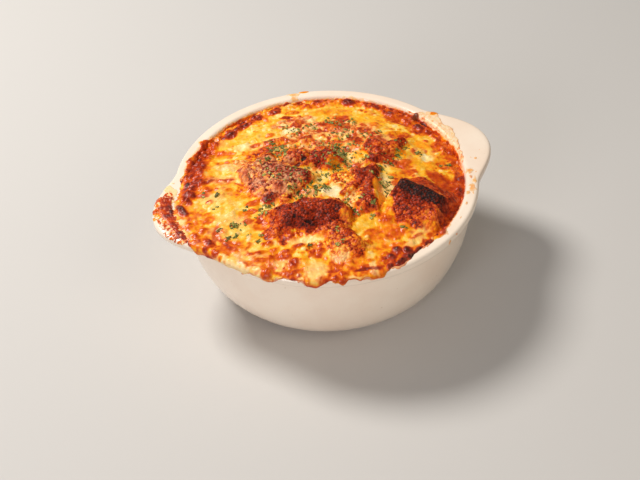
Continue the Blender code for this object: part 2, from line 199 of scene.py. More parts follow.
# Where the top has its own tone: x, y, half length, half width, turn, browning, how granular,
# and how much the browning varies from grain to grain. Later ones lie over earlier ones.
PATCHES = [
    (-21.5, 40.0, 14, 5, -14, 0.27, 0.00, 0.04),  # yellow pool, back left
    (-26.5, 33.9, 6, 3, -14, 0.16, 0.00, 0.04),  # cream in it
    (-41.6, 16.9, 8, 9, 0, 0.24, 0.00, 0.05),  # yellow, left
    (-45.4, -9.7, 13, 9, -20, 0.23, 0.00, 0.06),  # yellow, lower left
    (-43.4, -24.8, 11, 6, -20, 0.22, 0.00, 0.06),  # yellow, front left
    (-24.1, -54.5, 16, 4, -14, 0.30, 0.00, 0.06),  # yellow, front
    (1.6, -36.4, 7, 5, -30, 0.28, 0.00, 0.05),  # yellow right of the tail
    (23.0, -49.9, 8, 4, 20, 0.30, 0.00, 0.14),  # cream yellow, front right
    (42.8, -7.8, 7, 4.5, -20, 0.34, 0.00, 0.04),  # bright pool, right back
    (48.9, 6.0, 5, 3.5, -30, 0.38, 0.00, 0.06),  # pool near the back right edge
    (47.1, -4.7, 3, 3, 0, 0.10, 0.00, 0.05),  # cream spot right
    (44.4, -18.7, 6, 1.5, -8, 0.20, 0.00, 0.06),  # streaks right
    (31.0, 34.6, 8, 4, -15, 0.32, 0.00, 0.06),  # back pool
    (20.4, 46.0, 10, 3, -14, 0.37, 0.00, 0.06),  # back pool middle
    (7.7, 45.0, 4.5, 2.6, -10, 0.12, 0.50, 0.10),  # cream lumps, back
    (-3.6, 36.8, 4, 2.8, -20, 0.06, 0.50, 0.08),  # cream lump
    (15.2, 26.6, 4, 3, -20, 0.12, 0.60, 0.10),  # cream lumps right of centre
    (6.0, 25.0, 4, 2, -15, 0.16, 0.60, 0.12),  # cream lump behind centre
    (-2.3, -12.9, 5.5, 3.5, -20, 0.02, 0.20, 0.04),  # white pool, middle
    (-3.8, -2.4, 4, 7, -25, 0.22, 0.30, 0.10),  # yellow, middle
    (21.0, -17.9, 4.5, 7.5, -25, 0.10, 0.15, 0.06),  # pale pool by the charred toast
    (18.7, -29.4, 2.8, 7, -12, 0.18, 0.00, 0.06),  # strip beside the charred toast
    (13.2, 10.6, 5, 6, -30, 0.18, 0.40, 0.12),  # pale green pool
    (-36.7, 26.3, 4, 2, -30, 0.50, 0.50, 0.20),  # lump of rough cheese left
    (7.9, -60.0, 7, 5, 8, 0.66, 0.50, 0.20),  # browned edge, front right
    (-16.9, -56.0, 4.0, 3.6, 0, 0.54, 0.60, 0.12),  # orange patch, front
    (-8.1, -57.0, 4.4, 4.6, 0, 0.44, 0.30, 0.10),  # orange-brown patch, front
    (-23.9, 2.0, 15.5, 10, -50, 0.60, 0.90, 0.34),  # left toast, all
    (-16.8, 4.2, 12, 4.2, -40, 0.87, 1.00, 0.14),  # left toast, dark band
    (-22.6, 9.3, 4.5, 2.6, -10, 0.80, 0.90, 0.14),  # left toast, band's left end
    (-23.3, 24.2, 6.5, 3, -5, 0.62, 0.80, 0.24),  # left toast, far side
    (-31.3, 1.3, 5, 5, 0, 0.58, 0.90, 0.30),  # left toast, low end
    (-15.6, -7.8, 5, 3, -20, 0.52, 0.90, 0.34),  # left toast, near side
    (1.5, 7.7, 8, 5.2, -50, 0.83, 1.00, 0.12),  # centre toast, right lump
    (-9.2, 12.8, 6.5, 4.5, -35, 0.70, 0.90, 0.22),  # centre toast, left lump
    (-14.4, 21.2, 4, 2.5, -10, 0.64, 0.80, 0.24),  # centre toast, far bits
    (-6.5, 9.9, 1.5, 1.2, 0, 1.02, 0.20, 0.00),  # centre toast, hole, painted near black as painted shade
    (-10.0, 8.9, 1.4, 1, 0, 0.92, 0.20, 0.00),  # centre toast, small hole, painted dark as painted shade
    (-0.5, 49.8, 3.4, 1.5, -8, 0.76, 0.40, 0.08),  # back, brown bit
    (9.2, 31.6, 3.6, 1.4, -20, 0.70, 0.40, 0.10),  # back, red bit
    (1.0, 28.5, 4, 2, -10, 0.68, 0.60, 0.12),  # back, red bit 2
    (3.6, 43.0, 3, 2, 0, 0.54, 0.30, 0.10),  # back, orange bit
    (14.5, 35.3, 3, 1.6, 0, 0.55, 0.30, 0.10),  # back, orange bit 2
    (18.5, 35.8, 7.5, 1.3, -4, 0.74, 0.50, 0.14),  # olive streak, back
    (21.5, 18.2, 5, 2.8, -60, 0.70, 0.80, 0.14),  # red lump, back
    (26.7, 8.4, 5.5, 3.4, 15, 0.78, 0.90, 0.14),  # red lump, back toast
    (26.5, 4.1, 3, 4.5, 0, 0.70, 0.90, 0.14),  # red lump, back toast's front
    (24.7, -0.8, 5, 2.6, -10, 0.84, 0.90, 0.12),  # dark lump
    (31.0, -5.0, 5, 1.8, -25, 0.66, 0.60, 0.12),  # red strip
    (36.9, 7.1, 7, 2.8, 22, 0.76, 0.90, 0.14),  # back toast, diagonal
    (34.4, 1.6, 5, 4, 0, 0.64, 0.90, 0.26),  # back toast, mottled
    (40.2, 12.4, 5, 1.6, 22, 0.42, 0.30, 0.10),  # back toast, gold edge
    (36.5, -5.8, 3, 2, 0, 0.52, 0.00, 0.06),  # orange, right of back toast
    (34.0, -8.3, 4, 1.8, -20, 0.58, 0.20, 0.08),  # orange, middle right
    (14.6, -11.2, 5.6, 4.8, -20, 0.90, 1.00, 0.10),  # middle toast, top
    (11.4, -22.4, 13, 3, -112, 0.78, 1.00, 0.14),  # middle toast, stem
    (5.4, -14.9, 6, 2.4, 25, 0.70, 1.00, 0.14),  # middle toast, arm
    (5.1, -8.3, 5.4, 3.4, -10, 0.46, 1.00, 0.34),  # middle toast, pale lump
    (4.8, -20.7, 4, 4.6, -10, 0.36, 1.00, 0.30),  # middle toast, pale lump 2
    (-19.3, -28.9, 19, 8.5, -12, 0.82, 1.00, 0.14),  # front toast, all
    (-16.5, -23.0, 13, 3.6, -12, 0.85, 1.00, 0.12),  # front toast, top
    (-19.3, -30.4, 14, 4.6, -12, 0.93, 1.00, 0.10),  # front toast, dark
    (-25.7, -32.7, 7, 2, -5, 0.95, 1.00, 0.08),  # front toast, dark foot
    (-20.0, -31.6, 1.5, 0.9, -20, 1.02, 0.60, 0.05),  # front toast, black spot
    (-28.0, -28.3, 3.4, 3, 0, 0.97, 1.00, 0.08),  # front toast, dark left
    (-7.2, -27.8, 4.6, 4.6, -20, 0.92, 1.00, 0.12),  # front toast, right end
    (-34.5, -28.2, 5.5, 4.2, 25, 0.70, 1.00, 0.18),  # front toast, left end
    (-31.7, -33.5, 3, 4.5, -20, 0.72, 1.00, 0.18),  # front toast, low left
    (-14.6, -38.1, 6, 3, -20, 0.72, 1.00, 0.18),  # front toast, low right
    (-10.8, -44.6, 10, 6.8, -65, 0.66, 1.00, 0.22),  # tail
    (-5.4, -44.1, 4.4, 2, -20, 0.74, 1.00, 0.12),  # tail, red edge
    (-7.3, -52.5, 2.6, 5, 20, 0.70, 1.00, 0.16),  # tail, red foot
    (-14.0, -51.6, 4.2, 4.2, 0, 0.50, 1.00, 0.22),  # tail, pale end
    (-18.8, -43.0, 5, 2.5, -20, 0.46, 0.80, 0.24),  # tail, pale side
    (24.8, -39.6, 12, 7.8, -50, 0.80, 1.00, 0.13),  # charred toast, face
    (26.9, -36.6, 11, 2.4, -50, 0.92, 1.00, 0.08),  # charred toast, under the band
    (18.4, -39.9, 8, 3.6, -50, 0.74, 1.00, 0.18),  # charred toast, red foot
    (23.8, -46.2, 4.5, 3.8, -30, 0.72, 1.00, 0.20),  # charred toast, red corner
    (31.5, -46.0, 6.5, 4.6, -30, 0.66, 0.90, 0.16),  # charred toast, brown corner
    (37.8, -27.4, 12, 5, -50, 0.73, 0.50, 0.10),  # charred toast, far side
    (28.0, -19.4, 5, 2.2, -20, 0.62, 0.50, 0.14),  # charred toast, far top
    (41.6, -41.0, 4.5, 6.5, -50, 0.70, 0.60, 0.10),  # charred toast, right end
    (49.4, -28.8, 17, 5.0, -65, 0.64, 0.10, 0.08),  # wall band, right
    (9.9, -46.9, 10, 5.5, -10, 0.47, 0.10, 0.10),  # orange field
    (12.9, -48.4, 4.5, 2.6, 0, 0.58, 0.10, 0.08),  # orange field, warm
    (3.4, -43.9, 4, 2.4, 0, 0.54, 0.10, 0.08),  # orange field, left
    (7.1, -55.0, 9, 3, -12, 0.44, 0.10, 0.10),  # orange field, low
    (-36.5, -7.3, 3.6, 2.6, 0, 0.58, 0.10, 0.08),  # orange patch, left 1
    (-39.1, -12.3, 3.4, 1.7, 0, 0.62, 0.10, 0.08),  # orange patch, left 2
    (-42.1, -17.3, 2.7, 1.8, 0, 0.57, 0.10, 0.08),  # orange patch, left 3
    (-48.3, 15.1, 4, 6, 10, 0.40, 0.00, 0.12),  # orange, far left
    (-64.2, -8.0, 2.6, 4.4, 8, 0.46, 0.00, 0.12),  # orange by the lug
    (-12.9, 55.1, 9, 2.4, 12, 0.42, 0.00, 0.10),  # orange by the back edge
    (-25.0, 51.0, 8, 2.4, 25, 0.48, 0.00, 0.10),  # orange by the back left edge
    (-22.0, 33.4, 3, 1.7, 0, 0.60, 0.20, 0.06),  # orange spot, back left
    (-13.4, 38.0, 2.6, 1.8, 0, 0.50, 0.10, 0.06),  # orange spot, back
    (-53.4, -29.6, 6, 4.5, 119, 0.48, 0.00, 0.12),  # orange, front left
    (-17.3, 28.4, 5.0, 3.2, -15, 0.62, 0.60, 0.16),  # brown behind the left toast
    (19.7, 32.3, 5.0, 3.0, -15, 0.62, 0.50, 0.16),  # brown, back
    (11.8, 12.3, 3.6, 3.2, -20, 0.60, 0.60, 0.20),  # brown under the parsley
    (-12.6, -16.4, 6.5, 3.0, -25, 0.74, 0.90, 0.14),  # front toast, far side
    (15.4, -26.0, 3.0, 5.4, -20, 0.25, 0.32, 0.08),  # yellow beside the charred toast
    (13.6, -36.6, 3.4, 3.0, -30, 0.40, 0.32, 0.12),  # orange at its foot
    (28.4, -50.2, 5.0, 2.6, -30, 0.44, 0.40, 0.14),  # yellow past its corner
    (-38.4, -22.5, 3.6, 2.4, -20, 0.50, 0.10, 0.12),  # orange spot, lower left
    (6.6, 45.8, 5.0, 2.4, -15, 0.50, 0.30, 0.14),  # orange, back
    (-30.6, 2.0, 3.6, 3.2, 0, 0.74, 0.80, 0.16),  # left toast's low end
    (-42.4, -12.6, 3.4, 2.6, 0, 0.50, 0.20, 0.12),  # orange spot, left
    (-53.6, 9.4, 4.8, 4.0, 0, 0.54, 0.00, 0.14),  # orange by the ring, left
    (-36.9, 33.5, 5.0, 3.0, -30, 0.45, 0.00, 0.12),  # orange inside the ring
    (-35.3, -42.8, 4.0, 2.5, -20, 0.62, 0.10, 0.10),  # red spot, front left
    (42.0, 15.0, 6.0, 3.4, -20, 0.54, 0.40, 0.16),  # brown right of the back toast
    (31.9, 13.4, 4.0, 3.0, -20, 0.62, 0.50, 0.14),  # brown at the back toast's side
    (-36.3, -18.5, 4.0, 3.2, -20, 0.62, 0.90, 0.20),  # crumbs at the front toast's left end
    (16.8, -19.6, 2.4, 4.6, -20, 0.38, 0.35, 0.10),  # cheese up the middle toast's side
    (5.0, 2.6, 3.4, 3.0, -20, 0.42, 0.40, 0.16),  # cheese at the centre toast's right end
    (-26.5, -32.8, 5.0, 2.2, -20, 0.50, 0.60, 0.22),  # pale foot of the front toast
    (-3.5, -33.2, 3.0, 3.0, 0, 0.52, 0.60, 0.14),  # orange, front toast's right end
    (16.3, -32.1, 2.4, 3.4, -30, 0.36, 0.40, 0.12),  # yellow at the charred toast's foot
    (28.2, 23.7, 3.6, 3.0, -20, 0.62, 0.50, 0.16),  # brown behind the back toast
    (22.0, 39.0, 4.2, 2.6, -15, 0.60, 0.40, 0.14),  # brown streak, back
    (15.2, 28.2, 4.0, 3.4, -15, 0.56, 0.60, 0.22),  # brown lumps, back
    (17.4, 11.8, 3.4, 2.8, -20, 0.52, 0.50, 0.20),  # orange lumps before the back toast
    (14.4, 55.2, 6.5, 2.4, -15, 0.56, 0.30, 0.12),  # orange inside the ring, back
    (45.0, 29.6, 4.6, 3.2, -57, 0.60, 0.30, 0.12),  # browned inside the ring, back right
    (52.8, 17.0, 3.0, 4.0, -18, 0.66, 0.30, 0.12),  # browned inside the ring, right
    (55.0, 1.8, 2.4, 3.6, 0, 0.56, 0.20, 0.10),  # orange inside the ring, right
    (51.5, -11.9, 2.8, 3.4, 10, 0.54, 0.10, 0.12),  # orange spot, right
    (35.0, -12.6, 4.4, 2.4, -20, 0.54, 0.30, 0.12),  # orange behind the charred toast
    (-50.0, -13.2, 5.5, 4.2, -20, 0.32, 0.00, 0.08),  # deeper yellow, left
    (-38.5, 36.0, 3.4, 2.4, -35, 0.54, 0.30, 0.12),  # orange spot, back left
    (-11.5, 30.6, 8.5, 3.2, -15, 0.58, 0.50, 0.20),  # orange lumps behind the left toast
    (1.7, 24.6, 3.4, 2.6, -15, 0.54, 0.50, 0.20),  # orange lumps behind the centre toast
    (-22.8, -47.9, 3.2, 2.0, -20, 0.60, 0.10, 0.10),  # red spot, front
    (-18.0, -39.0, 4.2, 2.4, -20, 0.60, 0.25, 0.16),  # orange before the tail
    (36.0, -0.2, 3.0, 2.2, 0, 0.36, 0.32, 0.12),  # pale spot before the back toast
    (11.6, 17.6, 3.4, 5.6, -20, 0.60, 0.60, 0.22),  # brown under the parsley, back
    (-42.8, 12.0, 4.0, 3.2, -20, 0.45, 0.20, 0.12),  # orange spot, left
    (-57.2, -9.0, 3.4, 3.0, 0, 0.46, 0.00, 0.10),  # orange by the lug
    (3.3, 53.6, 4.4, 2.2, -5, 0.50, 0.40, 0.16),  # orange inside the ring, back
    (49.6, 24.0, 3.4, 2.8, -60, 0.60, 0.20, 0.12),  # browned inside the ring, right
    (-17.8, -0.4, 6.0, 3.2, -40, 0.76, 1.00, 0.16),  # left toast, under the dark band
]

# Blisters and beads that stand out: x, y, half length, half width, turn, height, browning
BEADS = [
    (-34.0, 10.2, 4, 2.3, 62, 1, 0.74),
    (-23.2, -4.0, 3.4, 2.8, 40, 1.2, 0.80),
    (-29.1, -7.8, 3.8, 3, 20, 1.3, 0.86),
    (-16.7, -5.9, 2, 1.6, 0, 0.6, 0.66),
    (-13.3, 6.7, 2.2, 1.8, 0, 0.6, 0.84),
    (2.5, 12.6, 2.2, 2, 0, 0.6, 0.74),
    (-3.2, 14.3, 2, 1.6, 0, 0.6, 0.72),
    (21.3, 13.1, 2, 2.6, 0, 0.7, 0.70),
    (1.8, -30.5, 3.6, 2.4, -10, 1.1, 0.72),
    (12.2, -39.4, 3.6, 2.6, -20, 0.9, 0.68),
    (10.2, -35.9, 2.4, 1.7, -20, 0.6, 0.66),
    (-38.9, -33.8, 2.8, 1.9, 0, 0.9, 0.68),
    (-37.7, -38.3, 2.6, 1.8, 0, 0.5, 0.58),
    (-33.2, -41.7, 3.3, 2, -10, 0.9, 0.67),
    (-27.3, -39.9, 2.9, 1.6, 0, 0.9, 0.75),
    (-22.8, -41.9, 2.3, 1.6, 0, 0.5, 0.62),
    (-23.2, -45.2, 2.3, 1.6, 0, 0.7, 0.70),
    (-19.5, -46.1, 2.5, 1.7, 0, 0.8, 0.69),
    (-45.2, -49.8, 2.6, 2.6, 0, 1.4, 0.71),
    (-36.6, -54.0, 3, 1.9, -14, 0.9, 0.72),
    (-45.3, -37.3, 5, 1.2, -12, 0.5, 0.68),
    (-44.2, -42.1, 5.5, 1.9, -15, 0.6, 0.64),
    (-19.9, -63.1, 2.4, 1.8, 0, 0.7, 0.70),
    (-16.5, -62.5, 2.6, 1.8, 0, 0.7, 0.68),
    (-6.0, -50.0, 1.8, 1.5, 0, 0.6, 0.70),
    (-0.4, -49.5, 2.4, 1.7, 0, 0.5, 0.60),
    (-3.8, -59.5, 2.2, 1.5, 0, 0.5, 0.56),
    (4.1, -58.0, 2, 1.4, 0, 0.4, 0.55),
    (-61.4, -14.9, 2.8, 2, 0, 0.9, 0.66),
    (-65.4, -16.6, 1.8, 2.4, 14, 0.8, 0.70),
    (-65.6, -8.0, 1.5, 2.0, 8, 0.6, 0.62),
    (-67.1, -11.4, 1.2, 1.8, 10, 0.6, 0.64),
    (-65.4, -28.7, 2.2, 2, 0, 0.8, 0.80),
    (-59.6, -32.8, 1.6, 1.3, 0, 0.5, 0.56),
    (-56.9, -5.1, 2.2, 1.8, 0, 0.5, 0.55),
    (-49.3, -17.2, 2, 1.4, 0, 0.4, 0.56),
    (-43.6, 5.8, 2, 1.4, 0, 0.4, 0.56),
    (-35.7, -1.8, 2.2, 1.2, 0, 0.4, 0.60),
    (54.1, 19.2, 3.3, 1.9, -70, 1.3, 0.94),
    (50.6, 31.0, 2.0, 1.6, -58, 0.8, 0.76),
    (46.0, 34.6, 2.6, 2.1, -53, 1.2, 0.86),
    (41.6, 42.3, 3.4, 1.8, -44, 1.0, 0.81),
    (31.2, 50.9, 3.4, 2.3, -32, 1.3, 0.86),
    (18.0, 57.0, 2.4, 1.6, -18, 0.9, 0.80),
    (9.3, 58.9, 2.4, 1.2, -9, 0.8, 0.78),
    (-3.6, 59.1, 3.2, 1.5, 4, 1.0, 0.83),
    (-13.8, 57.5, 2.8, 1.6, 14, 1.1, 0.85),
    (-16.6, 55.1, 1.5, 1.4, 17, 0.8, 0.80),
    (-21.3, 55.6, 2.6, 1.3, 21, 1.0, 0.84),
    (-25.1, 51.6, 4.2, 1.9, 26, 1.2, 0.85),
    (-29.4, 51.3, 1.8, 1.2, 30, 0.9, 0.80),
    (-33.0, 47.4, 1.7, 1.3, 35, 0.8, 0.82),
    (-38.0, 43.8, 2.0, 1.5, 41, 0.8, 0.78),
    (-45.0, 37.8, 2.4, 1.9, 50, 1.0, 0.84),
    (-48.4, 35.1, 2.0, 1.6, 54, 0.9, 0.84),
    (-48.7, 28.7, 2.4, 1.3, 60, 0.8, 0.84),
    (-54.6, 34.1, 2.4, 1.8, 58, 0.9, 0.80),
    (-51.1, 23.3, 2.2, 1.4, 66, 0.8, 0.86),
    (-56.3, 22.8, 2.2, 1.8, 68, 0.9, 0.80),
    (-53.2, 16.8, 2.2, 1.5, 72, 0.8, 0.86),
    (-61.1, 22.2, 2.0, 1.4, 70, 0.8, 0.80),
    (-57.9, 13.9, 2.0, 2.2, 76, 0.8, 0.82),
    (-22.1, -64.2, 1.6, 1.3, 161, 0.6, 0.74),
    (-18.0, -65.4, 1.6, 1.3, 165, 0.6, 0.76),
    (5.3, -60.8, 2.0, 2.6, 185, 0.8, 0.84),
    (9.2, -57.8, 2.0, 2.4, 189, 0.9, 0.88),
    (13.3, -59.9, 2.0, 2.4, 192, 0.9, 0.88),
    (3.4, -65.0, 1.8, 1.4, 183, 0.6, 0.82),
    (-61.3, -23.3, 2.8, 2.1, 111, 1.0, 0.88),
    (-63.6, -25.7, 1.6, 1.3, 112, 0.7, 0.78),
    (-60.6, -29.4, 2.0, 1.8, 116, 0.8, 0.73),
    (-40.3, -41.8, 1.5, 2.3, 136, 0.6, 0.70),
    (-32.8, -48.6, 2.2, 3.2, 146, 0.7, 0.78),
    (-36.2, -56.8, 1.8, 1.3, 148, 0.6, 0.76),
    (-29.4, 48.4, 3.7, 2.8, 29, 1.2, 0.84),
    (-20.9, 52.6, 4.0, 2.0, 22, 0.9, 0.80),
    (-13.4, 55.6, 2.6, 1.8, 13, 0.8, 0.82),
    (-4.6, 56.8, 3.0, 1.8, 4, 0.8, 0.80),
    (-35.4, -43.8, 3.4, 2.2, -25, 0.6, 0.72),
]

# How far up the bowl's wall and out over its rim the cheese reaches: angle in degrees and the
# distance along the rim's surface from a level 3.4 mm under its top on the inside
REACH = [
    (0, 1.8), (5, 2.1), (10, 2.3), (15, 1.6), (20, 2.0), (23, 2.2), (25, 3.4), (28, 2.5), (33, 2.3), (40, 2.0), (50, 2.1),
    (57, 2.6), (61, 2.5), (64, 1.9), (70, 2.2), (76, 1.8), (82, 2.2), (90, 2.1), (95, 2.5), (99, 2.0), (104, 2.5),
    (110, 2.8), (116, 2.7), (122, 2.5), (127, 2.6), (130, 3.4), (133.5, 6.0), (137, 3.8), (140, 3.8), (143, 4.6),
    (147, 6.0), (151, 4.8), (155, 5.2), (159, 6.2), (162, 5.4), (166, 5.8), (169.5, 7.0), (172, 8.6), (175, 10.0), (177, 10.8),
    (180, 11.2), (183, 11.4), (186.5, 11.8), (190, 12.2), (194, 12.8), (197, 13.6), (199, 14.4), (202, 12.6), (207, 11.3), (211.5, 11.2), (215.5, 10.6), (219, 11.0), (222, 9.2), (225, 10.2),
    (227.5, 11.6), (230, 11.2), (232, 8.8), (234.5, 7.8), (238, 8.6), (240.5, 8.4), (242.5, 10.9), (245.5, 11.6), (248.5, 9.2),
    (250.5, 8.2), (253, 9.2), (254.7, 10.6), (257, 8.3), (259, 8.3), (261, 9.2), (263, 8.8), (265.5, 10.0), (268.5, 10.2), (271, 8.2),
    (273, 7.3), (276, 7.8), (280.5, 6.6), (284, 5.0), (288, 4.2), (294, 4.7), (299.5, 5.4), (304, 4.0), (310, 2.6), (318, 2.2), (328, 0.6),
    (338, 0.2), (346, 1.4), (354, 2.7), (360, 2.8),
]
FLAT_AT = 59.27       # distance from the axis less the distance in REACH, on the rim's flat top


def reach_at(angle):
    a = np.degrees(np.mod(angle, 2 * math.pi))
    t = np.array(REACH)
    k = np.clip(np.searchsorted(t[:, 0], a, side="right") - 1, 0, len(t) - 2)
    return mix(t[k, 1], t[k + 1, 1], ramp(a, t[k, 0], t[k + 1, 0]))


def over_rim(angle):
    """1 where the cheese stands level with the rim and lies over it, 0 where it ends on the wall inside."""
    a = np.degrees(np.mod(angle, 2 * math.pi))
    return ramp(a, 140.0, 164.0) * (1 - ramp(a, 286.0, 312.0))


def lug(angle):
    off = np.mod(angle + math.pi / 2, math.pi) - math.pi / 2
    t = np.minimum(1.0, np.abs(off) / LUG_HALF)
    return LUG_OUT * (1.0 - t * t) ** 2


def edge_height(angle):
    return EDGE_Z - EDGE_DIP * np.clip(np.cos(angle - DIP_AT), 0, None) ** 2


def base_height(x, y):
    """The cheese without toast or relief, out to where it ends."""
    r, angle = np.hypot(x, y), np.arctan2(y, x)
    edge = mix(edge_height(angle), RIM_Z + SPILL_THICK, over_rim(angle))
    crest = CREST + 0.7 * np.cos(2 * angle + 0.6) * np.minimum(1.0, r / 62.0)
    return mix(crest, edge, np.minimum(1.0, r / 61.2) ** 2.6)


def turned_to(x, y, cx, cy, turn):
    t = math.radians(turn)
    dx, dy = x - cx, y - cy
    return dx * math.cos(t) + dy * math.sin(t), -dx * math.sin(t) + dy * math.cos(t)


def chunk_height(x, y, foot, chunk, seed, bend, loose):
    (cx, cy), turn, top, su, sv, sides = chunk
    P = np.stack([x, y], 1)
    u, v = turned_to(x + bend[0] * loose, y + bend[1] * loose, cx, cy, turn)
    z = top + su * u + sv * v + noise(P, 8.0, 580 + seed, 2) * 0.9 + noise(P, 3.6, 590 + seed) * 0.35
    for d, (reach, slope) in zip((u, -u, v, -v), sides):
        z = smin(z, foot + (reach - d) * slope, 1.7 + 1.1 * loose)
    return z


def grains(P3):
    """Height and tone, 0..1, of the tight grains of a browned crust."""
    f1, _, who = cells(P3, 1.02, 80)
    g = np.clip(1 - 1.15 * f1 ** 2, 0, 1) * (0.65 + 0.5 * who)
    f1, _, who2 = cells(P3, 0.52, 81)
    g = g + 0.30 * np.clip(1 - f1 ** 2, 0, 1) * (0.5 + who2)
    return g, who


def sheet_length(angle):
    """How far from the axis, along the surface it lies on, the cheese ends."""
    around = np.stack([np.cos(angle) * 64.0, np.sin(angle) * 64.0], 1)
    scallop = noise(around, 4.5, 71, 2) * 0.45 + noise(around, 1.8, 72) * 0.2
    deg = np.degrees(np.mod(angle, 2 * math.pi))
    left = ramp(deg, 158.0, 166.0) * (1 - ramp(deg, 196.0, 202.0))
    scallop = scallop + left * (noise(around, 2.6, 73, 2) * 1.5 + noise(around, 1.1, 74) * 0.5)
    return mix(61.9, FLAT_AT + reach_at(angle) + scallop, over_rim(angle))


def blob(P, n3, n1, x, y, ru, rv, turn, ragged):
    """Points near an oval spot, and there the distance from its centre, 1 at its ragged edge."""
    near = np.flatnonzero(np.hypot(P[:, 0] - x, P[:, 1] - y) < 1.55 * max(ru, rv) + 0.5)
    u, v = turned_to(P[near, 0], P[near, 1], x, y, turn)
    return near, np.hypot(u / ru, v / rv) + ragged * (n3[near] + 0.5 * n1[near])


class Surface:
    """Heights and browning of the whole cheese top, toast included, at points x, y in mm."""

    def __init__(self, x, y, end=None):
        P = self.P = np.stack([x, y], 1)
        self.r, self.angle = np.hypot(x, y), np.arctan2(y, x)
        over = over_rim(self.angle)
        self.end = sheet_length(self.angle) if end is None else end
        to_end = self.end - self.r
        low = noise(P, 14.0, 11, 2) * 1.0 + noise(P, 5.0, 12, 2) * 0.85
        inside = 1 - ramp(self.r, 55.0, 61.5)
        self.base = base_height(x, y) + low * mix(mix(0.40, 0.22, over), 1.0, inside)

        bend = (noise(P, 9.0, 500, 2) * 3.2 + noise(P, 3.2, 520) * 1.0, noise(P, 9.0, 540, 2) * 3.2 + noise(P, 3.2, 560) * 1.0)
        self.over, smooth = {}, self.base
        for i, name in enumerate(TOASTS):
            top = None
            for j, chunk in enumerate(CHUNKS[name]):
                z = chunk_height(x, y, self.base - 0.2, chunk, 7 * i + j, bend, 0.35 if name == "toast_charred" else 1.0)
                top = z if top is None else smax(top, z, 1.8)
            self.over[name] = top - self.base
            smooth = smax(smooth, top, 1.4)
        self.smooth = smooth
        most = self.most = np.max(list(self.over.values()), axis=0)
        P3 = np.stack([x, y, smooth], 1)
        n8, n3, n1 = noise(P, 8.0, 21, 3), noise(P3, 3.0, 22, 2), noise(P3, 1.3, 23, 2)
        w8, w3, w1 = (np.clip(k * 2.2, -1, 1) for k in (n8, n3, n1))
        on_toast = ramp(most, -0.1, 1.8)

        # Tone of the plain cheese. 0 white cheese, 0.25 yellow, 0.5 orange, 0.75 red-brown,
        # 0.95 nearly black
        strings = self.strings = self.make_strings()
        brown = 0.280 + 0.080 * w8 + 0.055 * w3 + 0.03 * w1 - 0.09 * strings
        warm = ramp(noise(P, 11.0, 24, 2) + 0.45 * noise(P, 3.5, 25, 2), 0.0, 0.55)
        brown = brown + 0.16 * warm
        rough = np.full(len(x), 0.18) + 0.15 * warm
        pale = 0.01 + 0.15 * ramp(w8 + 0.4 * w3, 0.3, 1.1) * (1 - warm)
        self.relief = 0.12 * n1 + 0.26 * n3 + 0.16 * strings

        g, who = grains(P3)
        self.g = g
        odd = np.clip((who - 0.5) * 3.0, -1, 1)
        soft = np.clip(noise(P3, 2.3, 26, 2) * 2.2, -1, 1)
        base_brown = brown.copy()
        brown = mix(brown, 0.66 + 0.20 * soft + 0.10 * odd, on_toast)
        rough = on_toast * 0.9

        # scattered small blisters and pits
        for size, seed, chance, tall, dark in ((4.6, 31, 0.26, 0.40, 0.52), (2.9, 33, 0.30, 0.26, 0.47), (1.8, 35, 0.26, 0.15, 0.44)):
            f1, _, w = cells(P, size, seed)
            rad = 0.14 + 0.20 * np.mod(w * 37.0, 1.0)
            d = f1 / rad + 0.30 * n1 + 0.2 * n3
            here = (w < chance * (0.25 + 1.5 * warm)) * (1 - on_toast)
            dome = np.sqrt(np.clip(1 - d * d, 0, 1)) * here
            self.relief = self.relief + dome * tall * (rad / 0.34)
            brown = np.maximum(brown, here * mix(brown, dark + 0.16 * np.mod(w * 91.0, 1.0), ramp(-d, -1.7, -0.4)))
        # pale lumps of cheese that didn't melt flat
        f1, _, w = cells(P, 3.4, 37)
        d = f1 / (0.22 + 0.16 * np.mod(w * 53.0, 1.0)) + 0.25 * n1
        dome = np.sqrt(np.clip(1 - d * d, 0, 1)) * (w < 0.22) * (1 - on_toast)
        self.relief = self.relief + 0.30 * dome
        brown = mix(brown, 0.13 + 0.05 * w1, 0.7 * np.minimum(1.0, dome * 1.6))
        pale = mix(pale, 0.45, np.minimum(1.0, dome * 1.6))

        # lumps of half melted cheese of every tone
        lumpy = np.zeros(len(x))
        for px, py, ru, rv, turn, amount in LUMPY:
            near, d = blob(P, n3, n1, px, py, ru, rv, turn, 0.30)
            lumpy[near] = np.maximum(lumpy[near], amount * (1 - ramp(d, 0.75, 1.15)))
        brown = mix(brown, 0.42 + 0.20 * soft + 0.10 * odd, 0.85 * lumpy)
        pale = mix(pale, 0.34, 0.9 * lumpy)
        rough = mix(rough, 0.5, lumpy)
        for size, seed, tall in ((5.2, 701, 0.80), (2.9, 703, 0.55)):
            f1, f2, w = cells(P3, size, seed)
            kind, other = np.mod(w * 17.0, 1.0), np.mod(w * 71.0, 1.0)
            dome = np.clip(1 - (f1 / (0.46 + 0.16 * other)) ** 2 + 0.25 * n1, 0, 1) ** 0.7
            here = lumpy * ramp(dome, 0.05, 0.45) * (w > 0.22) * (1 - 0.8 * on_toast)
            tone = np.where(kind < 0.28, 0.22, np.where(kind < 0.55, 0.46, np.where(kind < 0.78, 0.58, 0.70)))
            cast = np.where(kind < 0.28, 0.65, np.where(kind < 0.55, 0.60, 0.05))
            brown = mix(brown, tone + 0.08 * w1 + 0.10 * n1, 0.9 * here)
            pale = mix(pale, cast, 0.9 * here)
            rough = mix(rough, 0.45, here)
            self.relief = self.relief + lumpy * dome * tall * (0.5 + 0.7 * other) * (w > 0.22)

